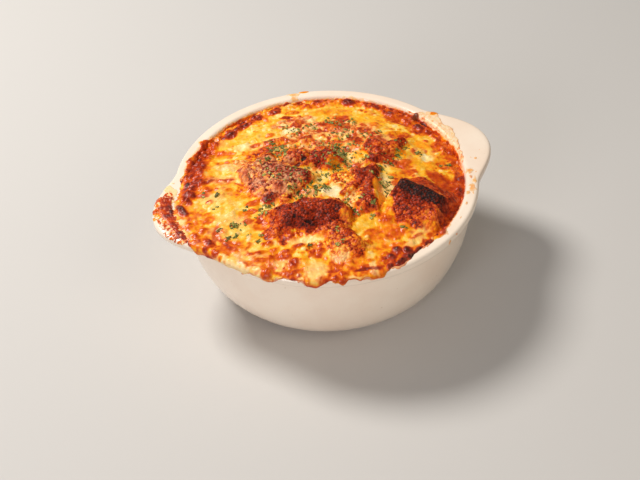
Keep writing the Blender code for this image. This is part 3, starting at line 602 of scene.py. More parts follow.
        for px, py, ru, rv, turn, level, grain, mottle in PATCHES:
            near, d = blob(P, n3, n1, px, py, ru, rv, turn, 0.30)
            if grain > 0.85 and level < 1.0:
                level, mottle = min(level, 0.80 + 0.6 * (level - 0.80)), mottle * 0.8
            w = 1 - ramp(d, 0.72, 1.18)
            if level < 0.45 and grain < 0.3:
                w = w * (1 - ramp(most[near], 0.5, 1.5))
            vary = mottle * (grain * odd[near] + (1 - 0.5 * grain) * soft[near])
            if level < 0.45 and grain < 0.3:
                vary = vary + 0.6 * (base_brown[near] - 0.27)
            brown[near] = mix(brown[near], level + vary, w)
            rough[near] = mix(rough[near], grain, w)
            if level > 0.29:
                pale[near] = pale[near] * (1 - 0.8 * w)
            # patches browner than 1.0 are sunk into pits, and their near-black is painted shade
            if level > 1.0:
                self.relief[near] -= 1.1 * w

        for px, py, ru, rv, turn, amount, level in PALE:
            near, d = blob(P, n3, n1, px, py, ru, rv, turn, 0.34)
            w = (1 - ramp(d, 0.60, 1.20)) * (1 - 0.8 * ramp(most[near], 0.6, 1.8))
            pale[near] = mix(pale[near], 0.8 * amount + 0.10 * w3[near], w)
            if level is not None:
                brown[near] = mix(brown[near], level + 0.08 * w3[near] + 0.05 * w1[near], w)

        # the browned ring along the wall
        wall = 1 - over
        wobble = noise(P, 6.0, 41, 2) * 2.0 + noise(P, 2.2, 42) * 0.6
        deg = np.degrees(np.mod(self.angle, 2 * math.pi))
        t = np.array(RING_IN)
        wide, tone = np.interp(deg, t[:, 0], t[:, 1]), np.interp(deg, t[:, 0], t[:, 2])
        ring = (1 - ramp(to_end + wobble, wide - 1.2, wide + 1.3)) * wall
        n5r = noise(P, 5.0, 43, 2)
        f1, _, w = cells(P, 3.3, 45)
        dome = np.sqrt(np.clip(1 - (f1 / (0.36 + 0.2 * w)) ** 2, 0, 1))
        back = ramp(deg, 60.0, 90.0) * (1 - ramp(deg, 170.0, 190.0))
        brown = mix(brown, np.maximum(brown, tone + 0.22 * n5r + 0.05 * n1 + 0.16 * (w - 0.35) * dome + 0.07 * n3 - 0.06 * back - 0.15 * back * (1 - dome)), ring)
        self.relief = self.relief + ring * (dome * (0.3 + 0.7 * w) + 0.3)
        rough = mix(rough, 0.30 + 0.25 * dome, ring)
        w0 = w
        # and on the left, where it runs over the rim
        t = np.array(RING_LEFT)
        mid, half = np.interp(deg, t[:, 0], t[:, 1]), np.interp(deg, t[:, 0], t[:, 2], left=0.0, right=0.0)
        far = np.abs(self.r - FLAT_AT - mid) + 0.9 * noise(P, 4.0, 44, 2) + 0.5 * n3
        w = (1 - ramp(far, half - 1.0, half + 0.7)) * ramp(half, 0.3, 1.0)
        tone = 0.63 + 0.22 * n5r + 0.10 * n3 + 0.08 * n1 + 0.14 * (w0 - 0.3) * dome - 0.10 * ramp(far, half - 2.6, half - 0.6)
        brown = mix(brown, tone, w)
        pale = pale * (1 - w)
        rough = mix(rough, 0.30 + 0.25 * dome, w)
        self.relief = self.relief + w * (0.35 + 0.5 * dome + 0.2 * n1)

        # folds and an orange rim where it lies over the bowl's edge
        along = self.angle * 66.0
        out = over * ramp(self.r, 55.0, 60.0) * (1 - on_toast)
        Q = np.stack([along / 2.4, self.r], 1)
        fold = noise(Q, 2.6, 47, 2)
        f1, _, w = cells(P3, 2.6, 46)
        lump = np.sqrt(np.clip(1 - (f1 / (0.30 + 0.2 * w)) ** 2, 0, 1)) * (w > 0.35)
        self.relief = self.relief + out * (0.15 * fold + 0.22 * lump * ramp(to_end, 0.6, 2.0))
        brown = brown + out * 0.10 * lump * (w - 0.4)
        brown = brown + out * (0.10 * ramp(-fold, 0.05, 0.5) + 0.10 * ramp(noise(Q, 4.0, 48, 2), 0.15, 0.6))
        n5 = noise(P, 4.6, 49, 2)
        n2 = noise(P, 2.0, 53, 2)
        band = out * (1 - ramp(to_end + 2.2 * n5, 5.5, 9.0))
        brown = mix(brown, np.maximum(brown, 0.46 + 0.32 * n5 + 0.22 * n2 + 0.08 * w1), band)
        front = ramp(deg, 224.0, 229.0)
        cream = out * (1 - ramp(to_end + 1.8 * noise(P, 4.5, 51, 2) + 0.6 * n2, mix(3.0, 0.6, front), mix(4.6, 1.9, front)))
        cream = cream * mix(ramp(deg, 204.0, 210.0), ramp(noise(P, 8.0, 52, 2), -0.10, 0.2), front)
        brown = mix(brown, 0.14 + 0.12 * n5 + 0.22 * ramp(n2, 0.1, 0.5), cream)
        pale = mix(pale, mix(0.78, 0.60, front), cream)
        f1, _, w = cells(P3, 1.9, 57)
        spot = cream * (1 - front) * ramp(0.62 - f1, 0.0, 0.3) * (w < 0.30)
        brown, pale = mix(brown, 0.54, 0.8 * spot), mix(pale, 0.3, 0.8 * spot)
        self.relief = self.relief + cream * (1 - front) * 0.35 * np.clip(1 - 2.0 * f1 ** 2, 0, 1)
        drip = ramp(deg, 239.5, 242.5) * (1 - ramp(deg, 246.5, 248.5))
        rim = out * (1 - ramp(to_end + 0.5 * n3 + 0.4 * n2, 0.2 + 0.5 * drip, 1.0 + 1.4 * drip))
        brown = mix(brown, np.maximum(brown, 0.56 + 0.08 * drip + 0.24 * n5 + 0.1 * n2), rim * mix(0.5, 1.0, front))
        pale = pale * (1 - rim * front)
        for px, py, ru, rv, turn, amount, level in PALE_EDGE:
            near, d = blob(P, n3, n1, px, py, ru, rv, turn, 0.40)
            w = 1 - ramp(d, 0.60, 1.15)
            pale[near] = mix(pale[near], amount + 0.10 * w3[near], w)
            brown[near] = mix(brown[near], level + 0.08 * w3[near] + 0.10 * np.clip(n2[near], -0.5, 0.8), w)
        # creases and streaks, browner: partly real browning, partly painted shade in the creases
        for cx, cy, ru, rv, turn, level, tall in CREASES:
            near, d = blob(P, n3, n1, cx, cy, ru, rv, turn, 0.16)
            w = 1 - ramp(d, 0.5, 1.15)
            brown[near] = mix(brown[near], np.maximum(brown[near], level + 0.08 * n1[near]), w)
            self.relief[near] += tall * w * (1 + 0.7 * n1[near])
            if tall > 0.4:
                rough[near] = mix(rough[near], 0.45, w)

        for bx, by, ru, rv, turn, tall, level in BEADS:
            near, d = blob(P, n3, n1, bx, by, ru * 0.94, rv * 0.94, turn, 0.20)
            dome = np.clip(1 - (d / 1.04) ** 2, 0, 1) ** 0.6
            fade = 1 - ramp(d, 0.8, 1.15)
            level = min(level, 0.80 if bx < -40.0 else 0.88) if level > 0.79 else level - 0.05
            self.relief[near] = mix(self.relief[near], 0.5 * self.relief[near] + 0.25 * n1[near], fade) + dome * tall * 0.85 * (1 + 0.5 * n1[near])
            brown[near] = mix(brown[near], level + 0.09 * w1[near] - 0.14 * ramp(d, 0.45, 0.95), 1 - ramp(d, 0.85, 1.35))
            rough[near] = mix(rough[near], 0.22 + 0.6 * ramp(most[near], 0.3, 1.5), fade)
            pale[near] = pale[near] * (1 - fade)

        # the char along the top of one toast
        (cx, cy), turn = CHUNKS["toast_charred"][0][:2]
        u, v = turned_to(x, y, cx, cy, turn)
        d = np.maximum(np.abs(v + 3.3 + 0.7 * n3) / 3.8, np.abs(u + 0.3) / 12.2)
        char = 1 - ramp(d + 0.16 * n1 + 0.20 * noise(P3, 4.4, 58, 2), 0.72, 1.16)
        brown = mix(brown, 1.04 + 0.05 * odd + 0.04 * w1, char)
        rough = mix(rough, 1.1, char)

        pale = pale * (1 - 0.8 * ramp(brown, 0.40, 0.62))
        left = 1 - ramp(np.hypot(x + 24.0, y - 5.0), 12.0, 18.0)
        tan = on_toast * np.minimum(1.0, rough) * (0.20 + 0.45 * ramp(noise(P3, 2.8, 54, 2), -0.35, 0.4)) * mix(0.12, 0.72, left)
        pale = np.maximum(pale, tan * (1 - ramp(brown - 0.06 * left, 0.60, 0.84)))

        self.on_toast = on_toast
        # its grains are too fine for the cheese beside the toast
        rough = self.rough = np.minimum(rough, mix(0.45, 2.0, ramp(most, -0.9, 0.2)))
        # painted highlight and shade: the tops of the grains are painted lighter and the crevices between them darker
        self.brown = brown + rough * 0.30 * (0.68 - g)
        self.pale = np.clip(pale, 0, 0.85)

    def make_strings(self):
        """Stretched strands of melted cheese, 0..1."""
        P = self.P
        bend = noise(P, 12.0, 61, 2) * 5.0
        q = np.stack([P[:, 0] * 0.35 + bend, P[:, 1] + 0.6 * bend], 1)
        a = 1 - np.abs(noise(q, 4.2, 62, 2)) * 2.6
        q = np.stack([P[:, 0] - 0.5 * bend, P[:, 1] * 0.45 + bend], 1)
        b = 1 - np.abs(noise(q, 3.4, 63, 2)) * 2.8
        return np.clip(np.maximum(a, b), 0, 1) ** 2


# Pale, creamy spots: x, y, half length, half width, turn, how pale, browning
PALE = [
    (-2.0, -12.9, 6.0, 4.0, -20, 0.55, None), (21.0, -18.5, 4.5, 7.5, -25, 0.45, None), (-13.8, -52.5, 4.0, 3.6, 0, 0.85, 0.44), (-12.4, -48.0, 6.0, 5.0, -60, 0.45, None),
    (-22.5, -38.5, 9.0, 2.4, -14, 0.45, 0.20), (-3.6, 36.8, 4.0, 2.8, -20, 0.60, None), (7.2, 44.4, 5.0, 3.0, -14, 0.55, None),
    (15.5, 27.0, 4.5, 3.2, -20, 0.50, None), (-43.0, 14.0, 9.0, 4.0, -20, 0.35, None), (-51.5, 3.0, 6.0, 3.5, -30, 0.40, None),
    (-48.5, -14.0, 8.0, 4.0, -30, 0.35, None), (47.0, -5.0, 4.0, 3.5, 0, 0.50, None), (5.2, -21.0, 4.2, 4.6, -10, 0.45, None),
    (5.0, -8.3, 5.0, 3.2, -10, 0.45, None), (34.5, 14.5, 5.0, 3.0, 0, 0.35, None), (13.0, 10.6, 5.0, 6.0, -30, 0.40, None),
    (-30.5, 3.5, 4.5, 4.5, 0, 0.35, None), (-18.5, 13.0, 6.0, 3.5, -40, 0.35, None), (-16.0, -9.0, 5.0, 2.6, -20, 0.40, None),
    (24.0, -50.5, 7.0, 3.0, 20, 0.28, None), (-26.5, 33.9, 6.0, 3.0, -14, 0.40, None),
]
# The same on the cheese that lies over the rim: x, y, half length, half width, turn, how pale, browning
PALE_EDGE = [
    (-37.6, -47.0, 2.0, 6.0, -38, 0.30, 0.28), (-26.0, -56.6, 5.2, 6.0, -25, 0.40, 0.26), (-3.4, -62.0, 1.7, 6.0, -3, 0.50, 0.24),
    (-47.5, -43.5, 2.0, 6.0, -48, 0.30, 0.30), (-52.0, -36.5, 4.0, 4.0, -55, 0.25, 0.32), (-68.8, -12.5, 1.0, 3.0, 10, 0.45, 0.24),
    (-68.3, -5.4, 1.3, 2.2, 0, 0.60, 0.16), (-69.0, 8.0, 2.0, 4.0, 12, 0.55, 0.18), (18.0, -56.0, 6.0, 2.2, 18, 0.35, 0.26),
]
# Lumps of half melted cheese: x, y, half length, half width, turn, how strong
LUMPY = [
    (11.0, 31.5, 22.0, 9.0, -14, 1.0), (1.0, 43.5, 11.0, 4.5, -8, 1.0), (27.0, 22.0, 9.0, 7.0, -30, 0.9), (-12.5, 29.0, 9.0, 5.5, -10, 0.9), (22.5, 16.0, 9.0, 8.0, -30, 0.8),
    (6.0, 22.0, 9.0, 5.0, -15, 0.9), (31.5, -5.5, 6.0, 2.6, -15, 0.7), (-14.0, -9.5, 8.0, 2.6, -25, 0.6),
    (-5.5, 1.0, 4.0, 6.0, -25, 0.6), (-35.5, 21.5, 9.5, 4.8, -22, 0.85), (-41.5, 25.0, 3.5, 2.6, 0, 0.8), (-17.0, -44.5, 7.0, 3.0, -20, 0.6),
    (4.6, -18.5, 3.4, 4.0, -10, 0.7), (14.0, 0.5, 5.0, 4.0, -20, 0.8), (45.0, 1.0, 5.0, 3.0, 0, 0.4),
    (-46.0, -38.0, 8.0, 3.5, -40, 0.5), (-35.0, -49.0, 9.0, 3.5, -25, 0.5), (-56.0, -20.0, 4.0, 8.0, 30, 0.5),
]
# How far in from the wall the browned ring reaches: angle, mm and browning
RING_IN = [
    (0, 5.6, 0.58), (10, 5.2, 0.56), (15, 6.2, 0.60), (20, 6.6, 0.62), (27, 5.6, 0.60), (35, 6.2, 0.60), (40, 5.4, 0.60),
    (50, 5.0, 0.57), (57, 5.4, 0.57), (64, 4.2, 0.46), (72, 4.6, 0.52), (78, 4.0, 0.46), (90, 4.4, 0.54), (93, 5.0, 0.56),
    (98, 4.2, 0.46), (103, 5.4, 0.56), (108, 6.4, 0.60), (116, 6.8, 0.62), (121, 6.2, 0.56), (126, 5.6, 0.54), (130, 5.6, 0.58),
    (140, 6.0, 0.60), (300, 4.0, 0.60), (320, 5.0, 0.62), (340, 5.6, 0.60), (360, 5.6, 0.58),
]
# The same where it runs over the rim on the left: angle, distance of its middle as in REACH, half width
RING_LEFT = [
    (128, -1.2, 0.0), (131, 0.4, 4.0), (134, 1.2, 5.2), (138, -0.2, 4.4), (143, 0.3, 4.8), (147, 0.9, 5.4), (152, 0.0, 5.0),
    (157, 0.2, 5.4), (162, -0.6, 5.6), (166, -0.2, 5.4), (169, 1.6, 4.4), (171.5, 3.6, 3.2), (174, 5.0, 1.8), (176, 6.0, 0.0),
]
# Long creases and streaks: x, y, half length, half width, turn, browning, height. Their dark brown is partly real
# browning and partly painted shade in the creases
CREASES = [
    (-19.0, -59.4, 4.0, 1.0, -12, 0.70, -0.25), (-7.6, -63.2, 5.4, 1.0, -7, 0.82, -0.20), (-2.8, -64.6, 2.8, 1.3, -12, 0.78, -0.20),
    (-41.5, -45.6, 4.6, 1.4, -128, 0.54, 0.20),
    (-58.2, 24.5, 1.8, 3.0, 0, 0.79, 0.42), (-59.4, 10.5, 2.0, 4.4, 0, 0.79, 0.42), (-52.0, 31.5, 2.0, 3.6, 30, 0.78, 0.42),
    (-61.8, 6.0, 1.6, 3.0, 12, 0.74, 0.45),
    (-52.5, 14.8, 6.0, 1.2, 4, 0.72, 0.35), (-42.5, 12.6, 5.0, 1.1, -22, 0.66, 0.30), (-38.0, 7.4, 3.2, 0.9, -45, 0.58, 0.20),
    (-54.0, -25.5, 9.0, 1.0, -45, 0.58, -0.30), (-66.2, 1.8, 5.6, 2.0, -76, 0.89, 0.75), (-57.1, -18.8, 6.4, 1.8, 66, 0.62, -0.15),
    (20.0, -53.5, 5.0, 1.0, 18, 0.56, 0.2), (28.0, -49.0, 5.0, 0.9, 35, 0.58, 0.2), (23.0, -47.0, 4.0, 0.8, 28, 0.50, 0.15),
    (-40.0, -52.0, 6.0, 1.0, -30, 0.56, 0.20), (-50.0, -42.0, 5.0, 0.9, -40, 0.52, 0.15), (-60.0, -4.0, 5.0, 1.4, -40, 0.52, 0.15),
    (-33.0, -54.5, 5.0, 0.8, -16, 0.50, 0.15), (4.0, -65.8, 3.6, 1.6, 10, 0.84, 0.55), (8.6, -64.6, 3.2, 1.7, 16, 0.90, 0.60),
    (13.4, -62.8, 3.0, 1.7, 26, 0.93, 0.60), (17.8, -60.8, 2.8, 1.5, 26, 0.88, 0.50), (23.2, -58.4, 3.0, 1.3, 26, 0.84, 0.45),
    (28.6, -55.6, 2.8, 1.3, 28, 0.82, 0.40), (33.0, -53.0, 2.4, 1.2, 32, 0.74, 0.35),
]


# =====================================================================================
# Meshes
# =====================================================================================
def mesh_object(name, points, quads, smooth=True):
    """An object from points in mm and a list of arrays of faces, each array of one number of corners."""
    mesh = bpy.data.meshes.new(name)
    sizes = np.concatenate([np.full(len(q), q.shape[1]) for q in quads])
    corners = np.concatenate([q.ravel() for q in quads])
    mesh.vertices.add(len(points))
    mesh.vertices.foreach_set("co", (np.asarray(points, np.float64) * MM).astype(np.float32).ravel())
    mesh.loops.add(len(corners))
    mesh.loops.foreach_set("vertex_index", corners.astype(np.int32))
    mesh.polygons.add(len(sizes))
    mesh.polygons.foreach_set("loop_start", np.concatenate([[0], np.cumsum(sizes)[:-1]]).astype(np.int32))
    mesh.polygons.foreach_set("loop_total", sizes.astype(np.int32))
    mesh.update(calc_edges=True)
    mesh.validate()
    if smooth:
        mesh.shade_smooth()
    o = bpy.data.objects.new(name, mesh)
    bpy.context.scene.collection.objects.link(o)
    return o


def attribute(o, name, values):
    a = o.data.attributes.new(name, "FLOAT", "POINT")
    a.data.foreach_set("value", np.asarray(values, np.float32))


def disc(n):
    """A square grid of n by n quads laid over the unit disc: distance, angle, quads and the border loop, anticlockwise."""
    a = np.linspace(-1, 1, n + 1)
    A, B = (m.ravel() for m in np.meshgrid(a, a, indexing="ij"))
    big = np.abs(A) >= np.abs(B)
    with np.errstate(all="ignore"):
        phi = np.where(big, math.pi / 4 * B / A, math.pi / 2 - math.pi / 4 * A / B)
    phi = np.where((big & (A < 0)) | (~big & (B < 0)), phi + math.pi, phi)
    phi = np.nan_to_num(phi)
    i, j = (m.ravel() for m in np.meshgrid(np.arange(n), np.arange(n), indexing="ij"))
    k = i * (n + 1) + j
    quads = np.stack([k, k + n + 1, k + n + 2, k + 1], 1)
    m = n + 1
    border = np.concatenate([
        np.arange(0, n) * m, n * m + np.arange(0, n), (n - np.arange(0, n)) * m + n, n - np.arange(0, n)])
    return np.where(big, np.abs(A), np.abs(B)), phi, quads, border


def skirt(points, border, loops, quads):
    """Closes a sheet: strips from its border through further loops, then a fan to the last loop's middle."""
    points, faces = [np.asarray(points)], [quads]
    count, n, last = len(points[0]), len(border), border
    for loop in loops:
        here = count + np.arange(n)
        points.append(loop)
        faces.append(np.stack([np.roll(last, -1), last, here, np.roll(here, -1)], 1))
        last, count = here, count + n
    points.append(loops[-1].mean(axis=0, keepdims=True))
    faces.append(np.stack([np.roll(last, -1), last, np.full(n, count)], 1))
    return np.concatenate(points), faces


def on_bowl(s, angle, lift):
    """The point lift mm above the level path that runs s mm out from the axis and then down over the rim's outer edge."""
    shoulder = RIM_R + lug(angle) - SHOULDER
    a = np.clip((s - shoulder) / SHOULDER, 0, math.pi / 2)
    down = np.maximum(0.0, s - shoulder - SHOULDER * math.pi / 2)
    r = np.minimum(s, shoulder) + SHOULDER * np.sin(a) + np.sin(a) * lift
    z = RIM_Z - SHOULDER * (1 - np.cos(a)) - down + np.cos(a) * lift
    return np.stack([r * np.cos(angle), r * np.sin(angle), z], 1)


def make_gratin(material):
    rho, angle, quads, border = disc(306)
    end = sheet_length(angle)
    s = rho * 61.0 + (end - 61.0) * ramp(rho, 0.42, 1.0) * rho
    x, y = s * np.cos(angle), s * np.sin(angle)
    f = Surface(x, y, end)
    over = over_rim(angle)
    h = f.smooth + f.relief + f.rough * 0.42 * (f.g - 0.55)
    h = h - 1.5 * np.clip(f.most - 0.3, 0, 3)
    lift = h - RIM_Z
    tail = np.clip((s - (end - 4.2)) / 4.2, 0, 1)
    lift = mix(lift, lift * (1 - 0.62 * tail) * np.sqrt(np.clip(1 - tail ** 9, 0, 1)) - 0.08 * tail, over)
    points = on_bowl(s, angle, lift)
    a = angle[border]

    def ring(r, z):
        z = np.broadcast_to(z, a.shape)
        return np.stack([r * np.cos(a), r * np.sin(a), z], 1)
    low = edge_height(a)
    loops = [ring(61.6, mix(low - 1.5, RIM_Z - 0.6, over[border])), ring(60.8, np.full(len(a), 44.0)), ring(30.0, 42.0)]
    points, faces = skirt(points, border, loops, quads)
    o = mesh_object("cheese_top", points, faces)
    extra = len(points) - len(f.brown)
    attribute(o, "brown", np.concatenate([f.brown, np.full(extra, 0.3)]))
    attribute(o, "pale", np.concatenate([f.pale, np.zeros(extra)]))
    o.data.materials.append(material)
    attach(o, "root")
    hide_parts("soup")
    return o


def visible(f, name):
    """How far the toast stands above the cheese and the other toasts."""
    others = np.max([f.over[k] for k in TOASTS if k != name], axis=0)
    return f.over[name] - np.maximum(others, 0.0)


def make_toast(name, material):
    step = 0.205
    first = CHUNKS[name][0]
    t = math.radians(first[1])

    def grid(lo, hi, step):
        nu, nv = (int(math.ceil(k / step)) for k in (hi[0] - lo[0], hi[1] - lo[1]))
        U_, V_ = np.meshgrid(np.linspace(lo[0], hi[0], nu + 1), np.linspace(lo[1], hi[1], nv + 1), indexing="ij")
        x = (first[0][0] + U_ * math.cos(t) - V_ * math.sin(t)).ravel()
        y = (first[0][1] + U_ * math.sin(t) + V_ * math.cos(t)).ravel()
        return nu, nv, U_.ravel(), V_.ravel(), x, y
    # where the toast shows, found on a coarse grid
    _, _, u, v, x, y = grid((-30, -30), (30, 30), 0.8)
    seen = visible(Surface(x, y), name) > -0.35
    lo, hi = (u[seen].min() - 0.9, v[seen].min() - 0.9), (u[seen].max() + 0.9, v[seen].max() + 0.9)
    nu, nv, _, _, x, y = grid(lo, hi, step)
    far = np.maximum(1.0, np.hypot(x, y) / 60.5)
    f = Surface(x / far, y / far)
    x, y = x / far, y / far
    mine = visible(f, name)
    P = np.stack([x, y, f.smooth + f.relief * 0.8], 1)
    G = P.reshape(nu + 1, nv + 1, 3)
    N = np.cross(np.gradient(G, axis=0), np.gradient(G, axis=1)).reshape(-1, 3)
    N /= np.linalg.norm(N, axis=1, keepdims=True)
    P = P + N * (f.rough * 0.50 * (f.g - 0.55))[:, None]
    dip = np.clip(-mine - 0.1, 0, 8)
    P[:, 2] -= dip * 1.5
    P[:, 2] = np.maximum(P[:, 2], 45.0)
    m = nv + 1
    i, j = (k.ravel() for k in np.meshgrid(np.arange(nu), np.arange(nv), indexing="ij"))
    k = i * m + j
    quads = np.stack([k, k + m, k + m + 1, k + 1], 1)
    border = np.concatenate([
        np.arange(0, nu) * m, nu * m + np.arange(0, nv), (nu - np.arange(0, nu)) * m + nv, nv - np.arange(0, nv)])
    floor = P[border].copy()
    floor[:, 2] = 44.0
    points, faces = skirt(P, border, [floor], quads)
    o = mesh_object(name + "_crust", points, faces)
    extra = len(points) - len(P)
    attribute(o, "brown", np.concatenate([f.brown, np.full(extra, 0.8)]))
    attribute(o, "pale", np.concatenate([f.pale, np.zeros(extra)]))
    o.data.materials.append(material)
    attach(o, "root")
    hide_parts(name)
    return o


# =====================================================================================
# Browned crust on the rim
# =====================================================================================
# Beads and films on the bowl's rim: angle, distance as in REACH, half length round the rim,
# half width, height, browning, how olive
RIM_BEADS = [
    (59.0, 0.9, 2.6, 1.4, 0.8, 0.84, 0.0), (73.0, 0.6, 2.0, 1.2, 0.7, 0.78, 0.0), (68.0, 0.4, 2.0, 1.3, 0.8, 0.76, 0.6),
    (50.0, 0.3, 1.9, 1.3, 0.7, 0.78, 0.1), (45.0, 0.4, 1.8, 1.2, 0.7, 0.74, 0.0), (38.5, 0.3, 2.0, 1.3, 0.7, 0.80, 0.0),
    (31.5, 0.4, 2.0, 1.5, 0.7, 0.74, 0.5), (25.2, 1.2, 1.7, 2.4, 1.0, 0.84, 0.6), (24.0, -1.0, 2.0, 1.6, 0.8, 0.88, 0.3),
    (20.0, -0.9, 2.7, 2.2, 1.1, 0.96, 0.0), (13.5, -0.9, 1.9, 1.5, 0.8, 0.74, 0.0), (9.0, -0.9, 1.6, 1.4, 0.8, 0.82, 0.0),
    (359.5, -0.9, 1.9, 1.3, 0.8, 0.80, 0.0), (3.0, 1.0, 1.2, 0.9, 0.4, 0.70, 0.3), (352.0, 0.6, 1.4, 0.9, 0.4, 0.74, 0.0),
    (64.0, 1.4, 1.3, 0.9, 0.5, 0.66, 0.2), (54.5, 1.3, 1.2, 0.8, 0.4, 0.62, 0.2), (42.0, 1.2, 1.4, 0.9, 0.5, 0.66, 0.3),
    (81.0, 0.1, 1.9, 1.2, 0.7, 0.76, 0.0), (87.0, 0.8, 1.8, 1.2, 0.7, 0.72, 0.2), (93.5, 0.0, 1.8, 1.3, 0.7, 0.78, 0.0),
    (98.5, 0.6, 1.3, 1.0, 0.5, 0.70, 0.0), (103.0, 0.0, 1.8, 1.2, 0.7, 0.78, 0.0), (111.0, -0.2, 1.9, 1.2, 0.7, 0.76, 0.1),
    (117.5, -1.0, 2.2, 1.5, 0.9, 0.82, 0.0), (121.5, -0.9, 1.5, 1.2, 0.7, 0.76, 0.0), (124.8, -0.9, 1.5, 1.2, 0.7, 0.78, 0.0),
    (128.5, -0.8, 1.6, 1.3, 0.7, 0.76, 0.0), (133.0, 2.2, 1.5, 1.0, 0.6, 0.70, 0.2), (137.5, 1.5, 1.7, 1.2, 0.8, 0.74, 0.0),
    (142.0, 1.7, 1.7, 1.3, 0.8, 0.76, 0.0), (148.0, 2.5, 1.6, 1.2, 0.8, 0.74, 0.0), (147.0, 4.5, 1.4, 1.0, 0.7, 0.68, 0.2),
    (340.2, 4.6, 2.4, 2.2, 0.20, 0.44, 0.0), (336, 4.9, 1.4, 0.8, 0.20, 0.58, 0.0), (329.5, 5.8, 3.1, 2.0, 0.16, 0.42, 0.0),
    (334, 6.4, 2.2, 1.2, 0.16, 0.40, 0.0), (326.2, 4.2, 1.8, 1.1, 0.18, 0.42, 0.0), (339.2, 7.2, 0.9, 0.8, 0.18, 0.46, 0.0),
    (320, 4.9, 1.1, 0.7, 0.16, 0.50, 0.0), (303.0, 9.0, 0.8, 0.5, 0.15, 0.54, 0.0), (298.5, 9.6, 0.9, 1.5, 0.15, 0.46, 0.0),
    (78.2, 7.7, 2.4, 1.1, 0.4, 0.42, 0.0), (83.0, 7.0, 2.6, 3.4, 0.12, 0.36, 0.0), (83.5, 3.6, 2.2, 1.8, 0.12, 0.38, 0.0),
    (218.5, 11.4, 0.7, 0.6, 0.25, 0.56, 0.0), (311.0, 5.6, 1.0, 0.5, 0.16, 0.46, 0.0), (347.5, 9, 0.9, 0.8, 0.16, 0.44, 0.0),
    (348.5, 7.0, 0.5, 0.4, 0.16, 0.50, 0.0), (20.6, 9.6, 1.5, 2.8, 0.35, 0.46, 0.0), (352.0, 12.5, 0.6, 0.4, 0.15, 0.50, 0.0),
]
# The lacy film on the right of the rim ends here: angle and distance
FILM = [(343, 2.6), (348, 3.8), (352, 4.6), (356, 5.0), (360, 6.0), (364, 6.8), (368, 8.6), (370, 8.2), (372, 6.6), (375, 7.8), (378, 9.6), (381, 11.0), (383, 8.4), (385.5, 4.6), (390, 3.2)]
# The burnt web on the left lug: points of its spine, from the back to the front
SPINE = [
    (-68.9, 15.0), (-70.0, 12.4), (-71.4, 9.4), (-72.4, 6.0), (-72.4, 2.5), (-72.0, -1.3), (-72.2, -5.0), (-71.9, -8.8),
    (-71.2, -12.5), (-70.0, -16.1), (-68.4, -19.0),
]


def rim_path(angle, s):
    """The point s mm along the rim's surface from a level 3.4 mm under its top on the inside, and the way out of it."""
    turn = np.linspace(0, math.pi / 2, 24)
    r = np.concatenate([[61.0, 61.4, 61.75], 63.8 - 1.8 * np.cos(turn), np.linspace(63.9, 66.2, 14), 66.3 + 1.7 * np.sin(turn), [68.0], 66.8 + 1.2 * np.cos(turn[:17])])
    z = np.concatenate([[43.7, 45.4, 47.1], 48.7 + 1.8 * np.sin(turn), np.full(14, 50.5), 48.8 + 1.7 * np.cos(turn), [48.3], 47.8 - 1.2 * np.sin(turn[:17])])
    out_r, out_z = np.zeros(len(s)), np.zeros(len(s))
    nr, nz = np.zeros(len(s)), np.zeros(len(s))
    share = ramp(r, 63.0, 67.2)
    key = np.round(np.degrees(np.mod(angle, 2 * math.pi)) * 20).astype(int)
    for k in np.unique(key):
        at = key == k
        R = r + lug(np.array([math.radians(k / 20.0)])) * share
        step = np.hypot(np.diff(R), np.diff(z))
        t = np.concatenate([[0], np.cumsum(step)])
        t -= t[2]
        dr, dz = np.gradient(R, t), np.gradient(z, t)
        n = np.hypot(dr, dz)
        out_r[at], out_z[at] = np.interp(s[at], t, R), np.interp(s[at], t, z)
        nr[at], nz[at] = np.interp(s[at], t, -dz / n), np.interp(s[at], t, dr / n)
    n = np.hypot(nr, nz)
    return out_r, out_z, nr / n, nz / n


